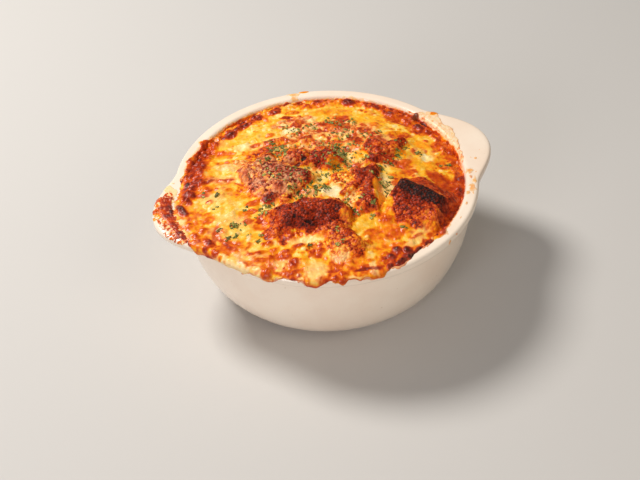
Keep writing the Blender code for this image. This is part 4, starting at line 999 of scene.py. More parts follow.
def rim_crust(angle, s):
    """Lift over the glaze, browning and olive tint of what is baked onto the rim."""
    deg = np.degrees(np.mod(angle, 2 * math.pi))
    P = np.stack([np.cos(angle) * 64, np.sin(angle) * 64, s], 1)
    n6, n3, n1 = noise(P, 6.0, 401, 2), noise(P, 2.6, 402, 2), noise(P, 1.1, 403, 2)
    up = reach_at(angle)
    over = over_rim(angle)
    edge = up - 0.3 + 0.5 * n3 + 0.25 * n1 - s
    here = ramp(edge, -0.15, 0.45)
    f1, _, who = cells(P, 2.3, 405)
    dome = np.sqrt(np.clip(1 - (f1 / (0.42 + 0.2 * who)) ** 2, 0, 1))
    thin = ramp(deg, 312.0, 326.0) * (1 - ramp(deg, 343.0, 352.0))
    lift = here * (0.22 + 0.35 * ramp(edge, 0.0, 2.0) + (0.35 + 0.35 * who) * dome * (1 - 0.7 * thin) + 0.12 * n1)
    lift = mix(-0.35, lift, ramp(here, 0.02, 0.25))
    t = np.array(RING_IN)
    brown = np.interp(deg, t[:, 0], t[:, 2]) + 0.02 + 0.22 * n6 + 0.10 * n3 + 0.12 * dome * (who - 0.3) - 0.12 * (1 - ramp(edge, 0.1, 0.9))
    brown = brown - 0.07 * ramp(deg, 60.0, 90.0) * (1 - ramp(deg, 126.0, 140.0))
    brown = mix(brown, 0.66 + 0.07 * n3, thin)
    streak = noise(np.stack([angle * 64 / 1.3 + 0.25 * s, s / 4.0], 1), 1.0, 408, 2)
    brown = mix(brown, 0.30 + 0.24 * ramp(streak, -0.1, 0.6) + 0.10 * n3, thin)
    cream_film = thin * (0.46 - 0.34 * ramp(streak, 0.0, 0.5))
    green = 0.4 * ramp(noise(P, 5.0, 407, 2), 0.25, 0.7) * (1 - ramp(deg, 78.0, 90.0))
    lift = np.where(over > 0.97, -0.35, lift)
    brown = brown - 0.14 * ramp(over, 0.3, 0.9) + 0.12 * ramp(over, 0.3, 0.9) * n3

    # a faint stain past the ring
    halo = up + 0.7 + 1.3 * n3 + 0.9 * noise(P, 8.0, 413, 2) - s
    w = ramp(halo, -0.3, 0.7) * ramp(1 - over, 0.0, 0.6) * (1 - here)
    lift = np.maximum(lift, mix(-0.35, 0.05 + 0.04 * n1, ramp(w, 0.25, 0.75)))
    brown = mix(brown, 0.32 + 0.10 * n6 + 0.06 * n1, w * (1 - here))
    thin_film = mix(cream_film, 0.94 - 0.45 * ramp(halo, 0.2, 1.6), w * (1 - here))

    # a thin stain past the edge of the overflow
    stain = up + 0.55 + 0.7 * n3 + 0.5 * n1 - s
    w = ramp(over, 0.3, 0.7) * ramp(stain, -0.4, 0.8) * ramp(noise(P, 9.0, 409, 2), -0.35, 0.1) * ramp(deg, 201.0, 208.0)
    w = w * (1 - ramp(s - lug(angle), 9.8, 10.8))
    lift = np.maximum(lift, mix(-0.35, 0.16 + 0.08 * n1, ramp(w, 0.2, 0.8)))
    brown = mix(brown, 0.50 + 0.14 * n6 + 0.06 * n1, w)
    thin_film = mix(thin_film, 0.35, w)

    # lacy film
    t = np.array(FILM)
    turned_deg = np.where(deg < 100, deg + 360, deg)
    edge = np.interp(turned_deg, t[:, 0], t[:, 1], left=-9, right=-9) + 0.8 * n3 - s
    q = np.stack([turned_deg * 64 * math.pi / 180 + 0.5 * n3, s + 0.5 * n3], 1)
    f1, f2, who = cells(q, 3.0, 411)
    line = 0.8 * (1 - ramp(f2 - f1 + 0.12 * n1 + 0.10 * n3, 0.06, 0.20)) * ramp(who + 0.4 * n3, 0.35, 0.6)
    rim = (1 - ramp(np.abs(edge - 0.35 - 0.3 * n1), 0.25, 0.75)) * ramp(n6 + 0.4 * n3, -0.55, -0.1)
    dots = ramp(noise(P, 1.7, 415, 2), 0.22, 0.42) * 0.9
    film = np.maximum(np.maximum(line, dots), rim)
    value = ramp(edge, 0.0, 0.5) * ramp(turned_deg, 344.0, 348.0)
    lift = np.maximum(lift, mix(-0.35, 0.06 + 0.12 * film + 0.04 * n1, ramp(value, 0.2, 0.8)))
    on_film = (edge > -1) & (s > up + 0.2)
    close = 1 - ramp(s - up, 0.5, 4.0)
    drift = noise(q, 2.2, 419, 2)
    brown = np.where(on_film, 0.26 + 0.14 * film + 0.06 * n6 + 0.16 * close * ramp(drift, -0.1, 0.3) + 0.05 * n1, brown)
    thin_film = np.where(on_film, 0.93 - 0.42 * film - 0.45 * close * ramp(drift, -0.1, 0.4) - 0.25 * ramp(drift, 0.1, 0.6), thin_film)
    green = np.where(on_film, 0.10, green)

    for a, at, ru, rs, tall, level, olive in RIM_BEADS:
        off = np.mod(deg - a + 180, 360) - 180
        near = np.flatnonzero(np.abs(off) < 6)
        grow = (1.42 if 76 < a < 126 else 1.12) if level > 0.68 else 1.0
        d = np.hypot(off[near] * 64 * math.pi / 180 / (ru * grow), (s[near] - at) / (rs * grow)) + 0.16 * n3[near] + 0.10 * n1[near]
        if tall < 0.25:
            # a dried drop, darker towards its ragged edge
            d = d + 0.5 * n3[near] + 0.4 * n1[near]
            w = 1 - ramp(d, 0.78, 1.06)
            lift[near] = np.maximum(lift[near], mix(-0.35, 0.35 * tall, ramp(w, 0.25, 0.75)))
            brown[near] = mix(brown[near], level - 0.05 + 0.08 * n1[near], ramp(w, 0.1, 0.5))
            spots = ramp(noise(P[near], 1.3, 417, 2), -0.3, 0.3)
            thin_film[near] = mix(thin_film[near], np.clip(0.42 + 0.50 * ramp(d, 0.25, 0.95) - 0.18 * spots, 0, 1), ramp(w, 0.1, 0.5))
            green[near] = mix(green[near], 0.08, ramp(w, 0.1, 0.5))
            continue
        top = np.sqrt(np.clip(1 - (d / 1.02) ** 2, 0, 1)) * tall
        w = 1 - ramp(d, 0.85, 1.1)
        base = np.maximum(lift[near], 0.0) * 0.4
        lift[near] = np.where(d < 1.02, np.maximum(lift[near], base + top), lift[near])
        brown[near] = mix(brown[near], level + 0.05 * n1[near] - 0.12 * ramp(d, 0.6, 1.0), w)
        green[near] = mix(green[near], olive, w)
        thin_film[near] = mix(thin_film[near], 0.0, w)
    return lift, brown, green, thin_film


def lug_web(angle, s):
    """Lift, browning and thinness of the burnt web on the left lug."""
    x, y = s * np.cos(angle), s * np.sin(angle)
    P = np.stack([x, y], 1)
    n3, n1, n6 = noise(P, 2.6, 441, 2), noise(P, 1.0, 442, 2), noise(P, 6.0, 443, 2)
    best, t, out = np.full(len(x), 99.0), np.zeros(len(x)), np.zeros(len(x))
    run = 0.0
    for (ax, ay), (bx, by) in zip(SPINE[:-1], SPINE[1:]):
        dx, dy = bx - ax, by - ay
        length = math.hypot(dx, dy)
        k = np.clip(((x - ax) * dx + (y - ay) * dy) / length ** 2, 0, 1)
        d = np.hypot(x - ax - k * dx, y - ay - k * dy)
        side = np.sign((x - ax) * dy - (y - ay) * dx)
        nearer = d < best
        best = np.where(nearer, d, best)
        t = np.where(nearer, run + k * length, t)
        out = np.where(nearer, d * side, out)
        run += length
    ends = ramp(t, 0.0, 3.0) * (1 - ramp(t, run - 4.0, run - 0.5))
    dense = 1 - ramp(t + 2.0 * n6, 13.0, 19.0)
    value = np.zeros(len(x))
    for pitch, seed, slant in ((1.55, 3.1, 0.22), (2.3, 8.7, -0.30)):
        q = (t + slant * out + 0.8 * n3 + 0.25 * n1) / pitch
        k = np.floor(q)
        who, who2 = (np.mod(np.sin(k * 12.9898 + seed + j) * 43758.5453, 1.0) for j in (0.0, 2.0))
        wide = mix(0.15, 0.30, dense) + 0.12 * (who2 - 0.4) - 0.012 * np.abs(out)
        long = (mix(3.0, 4.6, dense) + 3.0 * who) * mix(0.4, 1.0, ends)
        barb = (1 - ramp(np.abs(q - k - 0.5), wide, wide + 0.14)) * (1 - ramp(out, long - 1.2, long))
        barb = barb * ramp(out, -1.6 - 2.0 * who2, -0.8 - 2.0 * who2)
        value = np.maximum(value, barb * (who2 > 0.15))
    for at, share in ((2.8, 0.30), (5.0, 0.42)):
        link = (1 - ramp(np.abs(out - at - 1.6 * n3), 0.22, 0.60)) * (noise(P, 3.4, 446 + int(at), 2) > share - 0.45)
        value = np.maximum(value, link * ends)
    spine = (1 - ramp(np.abs(out + 0.6 * n3) + 0.5 * n1, mix(0.9, 1.9, dense), mix(1.8, 3.2, dense))) * ends
    value = np.maximum(value, spine)
    value = value * (1 - 0.9 * ramp(noise(P, 1.5, 449, 2), 0.28, 0.42) * (1 - 0.6 * spine))
    there = ramp(value, 0.30, 0.70)
    lift = mix(-0.35, 0.26 + 0.16 * n1 + 0.30 * spine + 0.14 * n3, there)
    brown = mix(0.36, 0.65, ramp(value, 0.45, 0.98)) + 0.24 * n6 + 0.20 * n3 + 0.10 * spine - 0.022 * np.maximum(out, 0)
    thin = 0.30 * (1 - ramp(value, 0.5, 0.9))

    # a creamy film behind it
    film = np.zeros(len(x))
    for cx, cy, ru, rv, turn in WEB_FILM:
        u, v = turned_to(x, y, cx, cy, turn)
        film = np.maximum(film, 1 - ramp(np.hypot(u / ru, v / rv) + 0.35 * n3 + 0.2 * n1, 0.80, 1.05))
    here = ramp(film, 0.25, 0.75) * (1 - there)
    lift = np.maximum(lift, mix(-0.35, 0.10 + 0.06 * n1, ramp(film, 0.25, 0.75)))
    brown = mix(brown, 0.14 + 0.14 * ramp(n3, 0.0, 0.5) + 0.16 * ramp(noise(P, 1.6, 448, 2), 0.25, 0.5) + (0.12 + 0.42 * ramp(x, -71.8, -70.0)) * ramp(-y, -6.0, 2.0) * ramp(n6 + n3, -0.8, 0.2), here)
    thin = mix(thin, mix(0.60, 0.15, ramp(x, -71.8, -70.0) * ramp(-y, -6.0, 2.0)), here)
    return lift, brown, thin


# Creamy film on the left lug: x, y, half length, half width, turn
WEB_FILM = [
    (-67.0, 17.5, 2.6, 5.5, 14), (-69.0, 12.5, 3.0, 3.0, 0), (-68.4, -3.0, 3.4, 9.0, 3), (-68.0, -13.0, 3.2, 6.5, -12), (-73.9, -2.0, 2.4, 8.0, 2), (-72.6, 9.0, 2.4, 5.5, 20), (-67.4, -19.5, 2.6, 3.0, 20), (-64.0, 24.5, 2.0, 3.0, 20),
]


def make_web():
    """The web's points and faces, closed, and its attributes."""
    m, n = ((246, 76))
    a = np.linspace(math.radians(160.5), math.radians(199.5), m + 1)
    u = np.linspace(0, 1, n + 1)
    A = np.repeat(a, n + 1)
    shoulder = RIM_R + lug(A) - SHOULDER
    s = mix(64.5, shoulder + 1.35 * SHOULDER, np.tile(u, m + 1))
    lift, brown, thin = lug_web(A, s)
    i, j = (k.ravel() for k in np.meshgrid(np.arange(m), np.arange(n), indexing="ij"))
    k = i * (n + 1) + j
    quads = np.stack([k, k + 1, k + n + 2, k + n + 1], 1)
    w = n + 1
    border = np.concatenate([np.arange(0, n), np.arange(0, m) * w + n, m * w + np.arange(n, 0, -1), np.arange(m, 0, -1) * w])
    lift[border] = -0.35
    points = on_bowl(s, A, lift)
    low = on_bowl(s[border], A[border], np.full(len(border), -0.9))
    low[:, 2] = np.minimum(low[:, 2], RIM_Z - 0.9)
    points, faces = skirt(points, border, [low], quads)
    rest = len(points) - len(s)
    pad = [np.concatenate([v, np.full(rest, fill)]) for v, fill in ((brown, 0.6), (thin, 0.0))]
    return points, faces, pad


def make_edge_crust(material):
    m, n = ((1200, 58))
    angle = np.arange(m) * 2 * math.pi / m
    u = np.linspace(0, 1, n)
    u = np.where(u < 0.55, u / 0.55 * 0.42, 0.42 + (u - 0.55) / 0.45 * 0.58)
    A = np.repeat(angle, n)
    S = -2.6 + np.tile(u, m) * (14.1 + lug(A))
    lift, brown, green, thin = rim_crust(A, S)
    r, z, nr, nz = rim_path(A, S)
    first = np.tile(np.arange(n) == 0, m)
    last = np.tile(np.arange(n) == n - 1, m)
    lift = np.where(first | last, -0.5, lift)

    def at(a, r, z):
        return np.stack([r * np.cos(a), r * np.sin(a), z], 1)
    top = at(A, r + nr * lift, z + nz * lift).reshape(m, n, 3)
    ends = [top]
    for pick in (n - 1, 0):
        k = np.arange(m) * n + pick
        ends.append(at(A[k], (r + nr * -1.0)[k], (z + nz * -1.0)[k])[:, None, :])
    middle = at(angle, np.full(m, 65.0), np.full(m, 49.4))[:, None, :]
    G = np.concatenate([top, ends[1], middle, ends[2]], axis=1)
    w = G.shape[1]
    i, j = (k.ravel() for k in np.meshgrid(np.arange(m), np.arange(w), indexing="ij"))
    i2, j2 = (i + 1) % m, (j + 1) % w
    quads = np.stack([i * w + j, i * w + j2, i2 * w + j2, i2 * w + j], 1)
    more, faces, (web_brown, web_thin) = make_web()
    o = mesh_object("edge_crust", np.concatenate([G.reshape(-1, 3), more]), [quads] + [f + m * w for f in faces])

    def spread(v, rest, extra):
        return np.concatenate([np.concatenate([v.reshape(m, n), np.full((m, w - n), rest)], 1).ravel(), extra])
    attribute(o, "brown", spread(brown, 0.6, web_brown))
    attribute(o, "olive", spread(green, 0.0, np.zeros(len(more))))
    attribute(o, "thin", spread(thin, 0.0, web_thin))
    o.data.materials.append(material)
    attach(o, "root")
    return o


# =====================================================================================
# Parsley
# =====================================================================================
# Clusters of flakes: x, y, radius, how many
HERBS = [
    (-15.5, 23.7, 3.8, 14), (-5.0, 41.3, 2.2, 5), (-1.2, 35.3, 2.6, 6), (-13.4, 18.7, 2.4, 6), (-24.0, 15.5, 3.6, 6),
    (-10.4, 4.3, 4.0, 10), (-11.2, -5.5, 5.0, 14), (9.3, 9.6, 3.4, 13), (11.2, 10.2, 2.2, 12), (-11.5, 26.0, 2.4, 8), (7.2, 3.2, 3.4, 12), (2.3, -0.9, 3.2, 9),
    (-2.3, -2.9, 3.0, 7), (-5.5, -9.9, 3.0, 8), (-10.2, -10.1, 3.4, 7), (9.2, -1.5, 4.0, 7), (20.4, 4.7, 4.4, 9),
    (19.2, 12.5, 3.8, 7), (27.8, 20.1, 3.0, 4), (33.7, 19.9, 1.6, 3), (17.6, 24.6, 4.8, 11), (24.8, 32.5, 3.6, 5),
    (16.7, 37.8, 3.6, 5), (5.6, 34.9, 4.4, 7), (33.2, -0.8, 3.8, 6), (28.4, -5.3, 1.8, 4), (23.0, -7.7, 2.0, 7),
    (40.2, 3.9, 1.9, 3), (44.3, -1.4, 1.6, 4), (21.1, -17.7, 2.2, 8), (20.1, -23.3, 2.0, 5), (25.3, -14.6, 0.8, 2),
    (50.9, -11.9, 0.7, 1), (54.2, -13.4, 1.6, 3), (0.3, -22.6, 2.8, 7), (0.7, -28.5, 1.6, 4), (2.1, -31.6, 2.2, 5),
    (7.5, -35.4, 1.5, 3), (9.5, -30.5, 1.4, 3), (6.7, -25.2, 1.6, 3), (-32.7, -12.7, 2.8, 6), (-35.5, -16.7, 2.6, 5),
    (-40.9, -9.5, 1.4, 3), (-30.3, -10.9, 2.2, 5), (-45.0, -19.2, 2.2, 3), (-48.6, -17.4, 1.7, 11), (-50.3, -23.2, 1.2, 3),
    (-53.6, -23.8, 1.2, 2), (-55.2, -17.6, 1.2, 3), (-44.6, -24.9, 1.0, 2), (-39.7, -27.6, 1.0, 2), (-55.3, 7.6, 1.6, 3),
    (-49.7, 3.0, 1.4, 2), (-23.3, -42.3, 1.2, 3), (-10.4, -40.5, 1.6, 3), (-12.3, -48.6, 1.8, 3), (-17.1, -8.9, 3.4, 8),
    (-19.5, -0.2, 4.0, 6), (-23.8, 6.2, 3.8, 5), (-3.0, -9.5, 1.6, 3), (17.4, -47.5, 1.0, 2), (54.2, 25.8, 1.4, 2),
    (-16.6, 28.2, 3.4, 8), (12.0, 12.6, 3.0, 9), (11.2, 16.0, 2.6, 12), (19.7, 31.6, 3.0, 5),
    (35.5, -1.1, 2.0, 2), (-42.6, -32.0, 0.8, 1), (-52.5, -3.1, 1.4, 2), (-8.7, 22.3, 4.0, 6), (4.0, 20.0, 4.2, 7),
    (2.5, 5.7, 4.0, 4), (14.4, 4.1, 4.0, 6), (17.8, -14.3, 2.4, 3), (36.6, 3.5, 3.0, 3),
]


def flake(rng, size):
    """A curled scrap of leaf lying on z = 0: points and faces, closed."""
    k = rng.integers(6, 10)
    a = np.sort(rng.uniform(0, 2 * math.pi, k) * 0.35 + np.arange(k) * 2 * math.pi / k)
    rad = size * rng.uniform(0.30, 0.62, k)
    long = rng.uniform(1.0, 1.6)
    edge = np.stack([rad * np.cos(a) * long, rad * np.sin(a)], 1)
    inner = edge * 0.52
    flat = np.concatenate([edge, inner, [[0.0, 0.0]]])
    curl, cup, twist = rng.uniform(-0.45, 0.9), rng.uniform(-0.2, 0.8), rng.uniform(-0.5, 0.5)
    x, y = flat[:, 0] / size, flat[:, 1] / size
    z = size * (curl * x * x + cup * y * y + twist * x * y)
    z = z + np.concatenate([rng.uniform(-0.08, 0.10, k), rng.uniform(-0.05, 0.05, k), [0.0]]) * size
    thick = rng.uniform(0.06, 0.10)
    top = np.column_stack([flat, z + thick])
    low = np.column_stack([flat * 0.94, z - thick * 0.6])
    faces = []
    c, n = 2 * k, 2 * k + 1
    for i in range(k):
        j = (i + 1) % k
        faces += [(i, j, k + j), (i, k + j, k + i), (k + i, k + j, c)]
        faces += [(n + i, n + k + j, n + j), (n + i, n + k + i, n + k + j), (n + k + i, n + c, n + k + j)]
        faces += [(i, n + i, n + j), (i, n + j, j)]
    return np.concatenate([top, low]), np.array(faces)


def make_parsley(material):
    rng = np.random.default_rng(11)
    where = []
    for cx, cy, radius, number in HERBS:
        for k in range(number):
            a, d = rng.uniform(0, 2 * math.pi), radius * math.sqrt(rng.uniform(0, 1))
            where.append((cx + d * math.cos(a), cy + d * math.sin(a), rng.uniform(0.7, 1.75) if number > 2 else rng.uniform(1.1, 2.4)))
        for k in range(int(number * 1.3)):
            a, d = rng.uniform(0, 2 * math.pi), 1.25 * radius * math.sqrt(rng.uniform(0, 1))
            where.append((cx + d * math.cos(a), cy + d * math.sin(a), rng.uniform(0.5, 1.0)))
    for k in range(180):
        a, d = rng.uniform(0, 2 * math.pi), 36.0 * rng.uniform(0, 1) ** 0.7
        where.append((2.0 + d * math.cos(a), 8.0 + 0.8 * d * math.sin(a), rng.uniform(0.4, 0.85)))
    where = np.array(where)
    x, y = where[:, 0], where[:, 1]
    eps = 0.7

    def height(x, y):
        f = Surface(x, y)
        z = f.smooth + f.relief + f.rough * 0.4 * (f.g - 0.55)
        off = np.hypot(x, y) > f.end - 0.4
        return np.where(off, RIM_Z + 0.05, z)
    z = height(x, y)
    gx = (height(x + eps, y) - height(x - eps, y)) / (2 * eps)
    gy = (height(x, y + eps) - height(x, y - eps)) / (2 * eps)
    points, faces, tone, count = [], [], [], 0
    for k in range(len(where)):
        p, f = flake(rng, where[k, 2])
        turn = rng.uniform(0, 2 * math.pi)
        c, s = math.cos(turn), math.sin(turn)
        p = p @ np.array([[c, s, 0], [-s, c, 0], [0, 0, 1]])
        normal = Vector((-float(np.clip(gx[k], -1.5, 1.5)), -float(np.clip(gy[k], -1.5, 1.5)), 1.0)).normalized()
        tilt = Vector((rng.normal(0, 0.22), rng.normal(0, 0.22), 1.0)).normalized()
        q = Vector((0, 0, 1)).rotation_difference((normal + tilt * 0.6).normalized())
        M = np.array(q.to_matrix())
        p = p @ M.T + np.array([x[k], y[k], z[k] + rng.uniform(0.02, 0.18)])
        points.append(p)
        faces.append(f + count)
        tone += [rng.beta(1.3, 2.3)] * len(p)
        count += len(p)
    o = mesh_object("parsley", np.concatenate(points), [np.concatenate(faces)], smooth=False)
    attribute(o, "tone", tone)
    o.data.materials.append(material)
    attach(o, "root")
    return o


# =====================================================================================
# The bowl
# =====================================================================================
def quarter(r0, r1, z0, z1, n, power):
    a = np.linspace(0, math.pi / 2, n + 1)
    s, c = np.sin(a) ** (2 / power), np.clip(np.cos(a), 0, None) ** (2 / power)
    return [(r0 + (r1 - r0) * i, z0 + (z1 - z0) * (1 - j)) for i, j in zip(s, c)]


def arc(cr, cz, rad, a0, a1, n):
    return [(cr + rad * math.cos(math.radians(a0 + (a1 - a0) * i / n)), cz + rad * math.sin(math.radians(a0 + (a1 - a0) * i / n))) for i in range(n + 1)]


def make_bowl(material):
    top, under = RIM_Z, RIM_Z - BAND
    inside = [(8.0, FLOOR_Z - 0.3), (20.0, FLOOR_Z - 0.15)] + quarter(33.0, MOUTH_R - 0.5, FLOOR_Z, top - 5.0, 18, 2.15)
    rim = [(MOUTH_R - 0.25, top - 3.4)] + arc(MOUTH_R + 1.8, top - 1.8, 1.8, 180, 90, 7)
    rim += [(r, top) for r in (64.4, 65.0, 65.6)]
    rim += arc(RIM_R - SHOULDER, top - SHOULDER, SHOULDER, 90, 0, 7)
    rim += [(RIM_R, top - 2.2)] + arc(RIM_R - 1.2, under + 1.2, 1.2, 0, -90, 5)
    rim += [(RIM_R - 1.8, under - 0.02), (WALL_R + 0.7, under - 0.15), (WALL_R + 0.25, under - 0.5), (WALL_R + 0.05, under - 1.0)]
    wall = quarter(FOOT_R + 0.8, WALL_R, FOOT_H + 0.2, under - 1.6, 34, 2.1)[::-1]
    foot = [(FOOT_R + 0.3, FOOT_H - 0.1), (FOOT_R, FOOT_H - 0.5), (FOOT_R, 0.4), (FOOT_R - 0.15, 0.1), (FOOT_R - 0.5, 0.0), (FOOT_R - 3.5, 0.0),
            (FOOT_IN_R + 0.5, 0.0), (FOOT_IN_R + 0.1, 0.12), (FOOT_IN_R, 0.45), (FOOT_IN_R - 0.5, 1.2), (FOOT_IN_R - 1.6, 1.5), (20.0, 1.5), (8.0, 1.5)]
    profile = np.array(inside + rim + wall + foot)
    R, Z = profile[:, 0], profile[:, 1]
    share = np.where(
        Z > under + 0.2, ramp(R, MOUTH_R + 1.0, RIM_R - 0.8),
        np.where(Z > under - 1.2, ramp(R, WALL_R + 0.1, RIM_R - 0.9), 0.0))
    share = np.where(R < MOUTH_R + 1.0, 0.0, share)
    m = 560
    angle = np.arange(m) * 2 * math.pi / m
    A = np.repeat(angle, len(R))
    RR = np.tile(R, m) + lug(A) * np.tile(share, m)
    ZZ = np.tile(Z, m)
    P = np.stack([RR * np.cos(A), RR * np.sin(A), ZZ], 1)
    # hand-made unevenness of the glaze
    free = ramp(ZZ, 2.0, 6.0)
    w = (noise(P, 30.0, 91) * 0.10 + noise(P, 9.0, 92) * 0.045) * free
    P[:, 0] += w * np.cos(A)
    P[:, 1] += w * np.sin(A)
    P[:, 2] += np.where(ZZ > under, noise(P, 22.0, 93) * 0.08, 0.0)
    n = len(R)
    i, j = (k.ravel() for k in np.meshgrid(np.arange(m), np.arange(n - 1), indexing="ij"))
    k, k2 = i * n + j, ((i + 1) % m) * n + j
    quads = np.stack([k, k2, k2 + 1, k + 1], 1)
    c0, c1 = m * n, m * n + 1
    P = np.concatenate([P, [[0, 0, FLOOR_Z - 0.3], [0, 0, 1.5]]])
    i = np.arange(m)
    cap0 = np.stack([np.full(m, c0), ((i + 1) % m) * n, i * n], 1)
    cap1 = np.stack([np.full(m, c1), i * n + n - 1, ((i + 1) % m) * n + n - 1], 1)
    o = mesh_object("stoneware_bowl", P, [quads[:, ::-1], cap0[:, ::-1], cap1[:, ::-1]])
    r = np.hypot(P[:, 0], P[:, 1])
    ang = np.arctan2(P[:, 1], P[:, 0])
    attribute(o, "unglazed", (P[:, 2] < 0.35) * (r > FOOT_IN_R - 1) * 1.0)
    o.data.materials.append(material)
    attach(o, "root")
    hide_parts("bowl")
    return o


# =====================================================================================
# Materials
# =====================================================================================
def srgb(r, g, b):
    return tuple((c / 255 / 12.92) if c / 255 <= 0.04045 else ((c / 255 + 0.055) / 1.055) ** 2.4 for c in (r, g, b)) + (1.0,)


class Nodes:
    def __init__(self, name):
        self.m = bpy.data.materials.new(name)
        self.m.use_nodes = True
        self.t = self.m.node_tree
        self.shader = self.t.nodes["Principled BSDF"]

    def add(self, kind, inputs=None, **props):
        n = self.t.nodes.new(kind)
        for k, v in props.items():
            setattr(n, k, v)
        for k, v in (inputs or {}).items():
            self.set(n.inputs[k], v)
        return n

    def set(self, socket, v):
        if isinstance(v, bpy.types.NodeSocket):
            self.t.links.new(v, socket)
        else:
            socket.default_value = v

    def math(self, op, a, b=None, clamp=False):
        n = self.add("ShaderNodeMath", operation=op, use_clamp=clamp)
        self.set(n.inputs[0], a)
        if b is not None:
            self.set(n.inputs[1], b)
        return n.outputs[0]

    def attr(self, name):
        return self.add("ShaderNodeAttribute", attribute_name=name).outputs["Fac"]

    def noise(self, coords, scale, detail=2.0, rough=0.5, distortion=0.0):
        return self.add("ShaderNodeTexNoise", {"Vector": coords, "Scale": scale, "Detail": detail, "Roughness": rough, "Distortion": distortion}).outputs["Fac"]

    def map(self, v, a, b, c, d, kind="LINEAR"):
        n = self.add("ShaderNodeMapRange", interpolation_type=kind)
        for k, val in zip(("Value", "From Min", "From Max", "To Min", "To Max"), (v, a, b, c, d)):
            self.set(n.inputs[k], val)
        return n.outputs["Result"]

    def ramp(self, fac, stops):
        n = self.add("ShaderNodeValToRGB")
        e = n.color_ramp.elements
        for k, (pos, colour) in enumerate(stops):
            el = e[k] if k < 2 else e.new(pos)
            el.position, el.color = pos, colour
        self.set(n.inputs["Fac"], fac)
        return n.outputs["Color"]

    def mixc(self, fac, a, b, blend="MIX"):
        n = self.add("ShaderNodeMix", data_type="RGBA", blend_type=blend)
        self.set(n.inputs[0], fac)
        self.set(n.inputs[6], a)
        self.set(n.inputs[7], b)
        return n.outputs[2]

    def bump(self, height, distance, strength=1.0, normal=None):
        n = self.add("ShaderNodeBump", {"Height": height, "Distance": distance, "Strength": strength})
        if normal is not None:
            self.set(n.inputs["Normal"], normal)
        return n.outputs["Normal"]


BROWNING = [
    (0.00, (254, 238, 190)), (0.14, (251, 215, 116)), (0.26, (252, 185, 38)), (0.38, (246, 149, 8)), (0.50, (228, 108, 9)),
    (0.60, (206, 77, 10)), (0.68, (181, 55, 10)), (0.77, (147, 40, 13)), (0.86, (108, 32, 16)), (0.95, (70, 25, 17)),
    (1.04, (36, 29, 29)),
]
FULL = 1.10           # the browning at the end of the colour ramp


def cheese_material(name, shine):
    n = Nodes(name)
    where = n.add("ShaderNodeTexCoord").outputs["Object"]
    brown = n.attr("brown")
    fine = n.noise(where, 1500.0, 3.0, 0.6)
    grain = n.noise(where, 430.0, 3.0, 0.55)
    b = n.math("ADD", brown, n.map(fine, 0.3, 0.7, -0.022, 0.022))
    b = n.math("ADD", b, n.map(grain, 0.3, 0.7, -0.035, 0.035))
    colour = n.ramp(n.map(b, 0.0, FULL, 0.0, 1.0), [(p / FULL, srgb(*c)) for p, c in BROWNING])
    colour = n.mixc(n.map(n.attr("olive"), 0.0, 1.0, 0.0, 0.55), colour, srgb(88, 76, 36))
    colour = n.mixc(n.attr("thin"), colour, srgb(244, 220, 186))
    colour = n.mixc(n.attr("pale"), colour, srgb(246, 212, 158))
    n.set(n.shader.inputs["Base Color"], colour)
    wet = n.map(brown, 0.25, 0.55, 0.38, 0.27)
    wet = n.math("ADD", wet, n.map(brown, 0.62, 0.80, 0.0, 0.14))
    wet = n.math("ADD", wet, n.map(brown, 0.92, 1.02, 0.0, 0.16))
    n.set(n.shader.inputs["Roughness"], n.math("ADD", wet, n.map(grain, 0.3, 0.7, -0.05, 0.08)))
    n.shader.inputs["Subsurface Weight"].default_value = 0.10
    n.shader.inputs["Subsurface Radius"].default_value = (1.0, 0.45, 0.2)
    n.shader.inputs["Subsurface Scale"].default_value = 0.0010
    n.shader.inputs["Specular IOR Level"].default_value = shine
    n.set(n.shader.inputs["Normal"], n.bump(fine, 0.00006, 0.6, n.bump(grain, 0.00018, 0.5)))
    return n.m


def parsley_material():
    n = Nodes("parsley")
    where = n.add("ShaderNodeTexCoord").outputs["Object"]
    spots = n.noise(where, 900.0, 3.0, 0.6)
    t = n.math("ADD", n.attr("tone"), n.map(spots, 0.3, 0.7, -0.2, 0.2))
    colour = n.ramp(t, [(0.0, srgb(76, 78, 24)), (0.3, srgb(122, 124, 42)), (0.65, srgb(168, 162, 74)), (1.0, srgb(214, 202, 130))])
    n.set(n.shader.inputs["Base Color"], colour)
    n.set(n.shader.inputs["Roughness"], n.map(spots, 0.3, 0.7, 0.5, 0.75))
    n.shader.inputs["Subsurface Weight"].default_value = 0.1
    n.shader.inputs["Subsurface Scale"].default_value = 0.0006
    n.set(n.shader.inputs["Normal"], n.bump(n.noise(where, 2200.0, 2.0), 0.00005, 0.6))
    return n.m


def glaze_material():
    n = Nodes("stoneware_glaze")
    where = n.add("ShaderNodeTexCoord").outputs["Object"]
    cloud = n.noise(where, 38.0, 4.0, 0.6)
    colour = n.mixc(n.map(cloud, 0.35, 0.65, 0.0, 1.0), srgb(244, 223, 202), srgb(249, 233, 214))
    speck = n.add("ShaderNodeTexVoronoi", {"Vector": where, "Scale": 260.0}).outputs["Distance"]
    some = n.noise(where, 120.0, 1.0)
    speck = n.math("MULTIPLY", n.map(speck, 0.05, 0.10, 1.0, 0.0), n.map(some, 0.60, 0.66, 0.0, 0.55))
    colour = n.mixc(speck, colour, srgb(196, 160, 110))
    colour = n.mixc(n.attr("unglazed"), colour, srgb(206, 190, 164))
    n.set(n.shader.inputs["Base Color"], colour)
    n.set(n.shader.inputs["Roughness"], n.map(n.attr("unglazed"), 0.0, 1.0, n.map(cloud, 0.3, 0.7, 0.16, 0.26), 0.8))
    n.shader.inputs["Specular IOR Level"].default_value = 0.5
    n.set(n.shader.inputs["Normal"], n.bump(n.noise(where, 300.0, 3.0), 0.00004, 0.5))
    return n.m


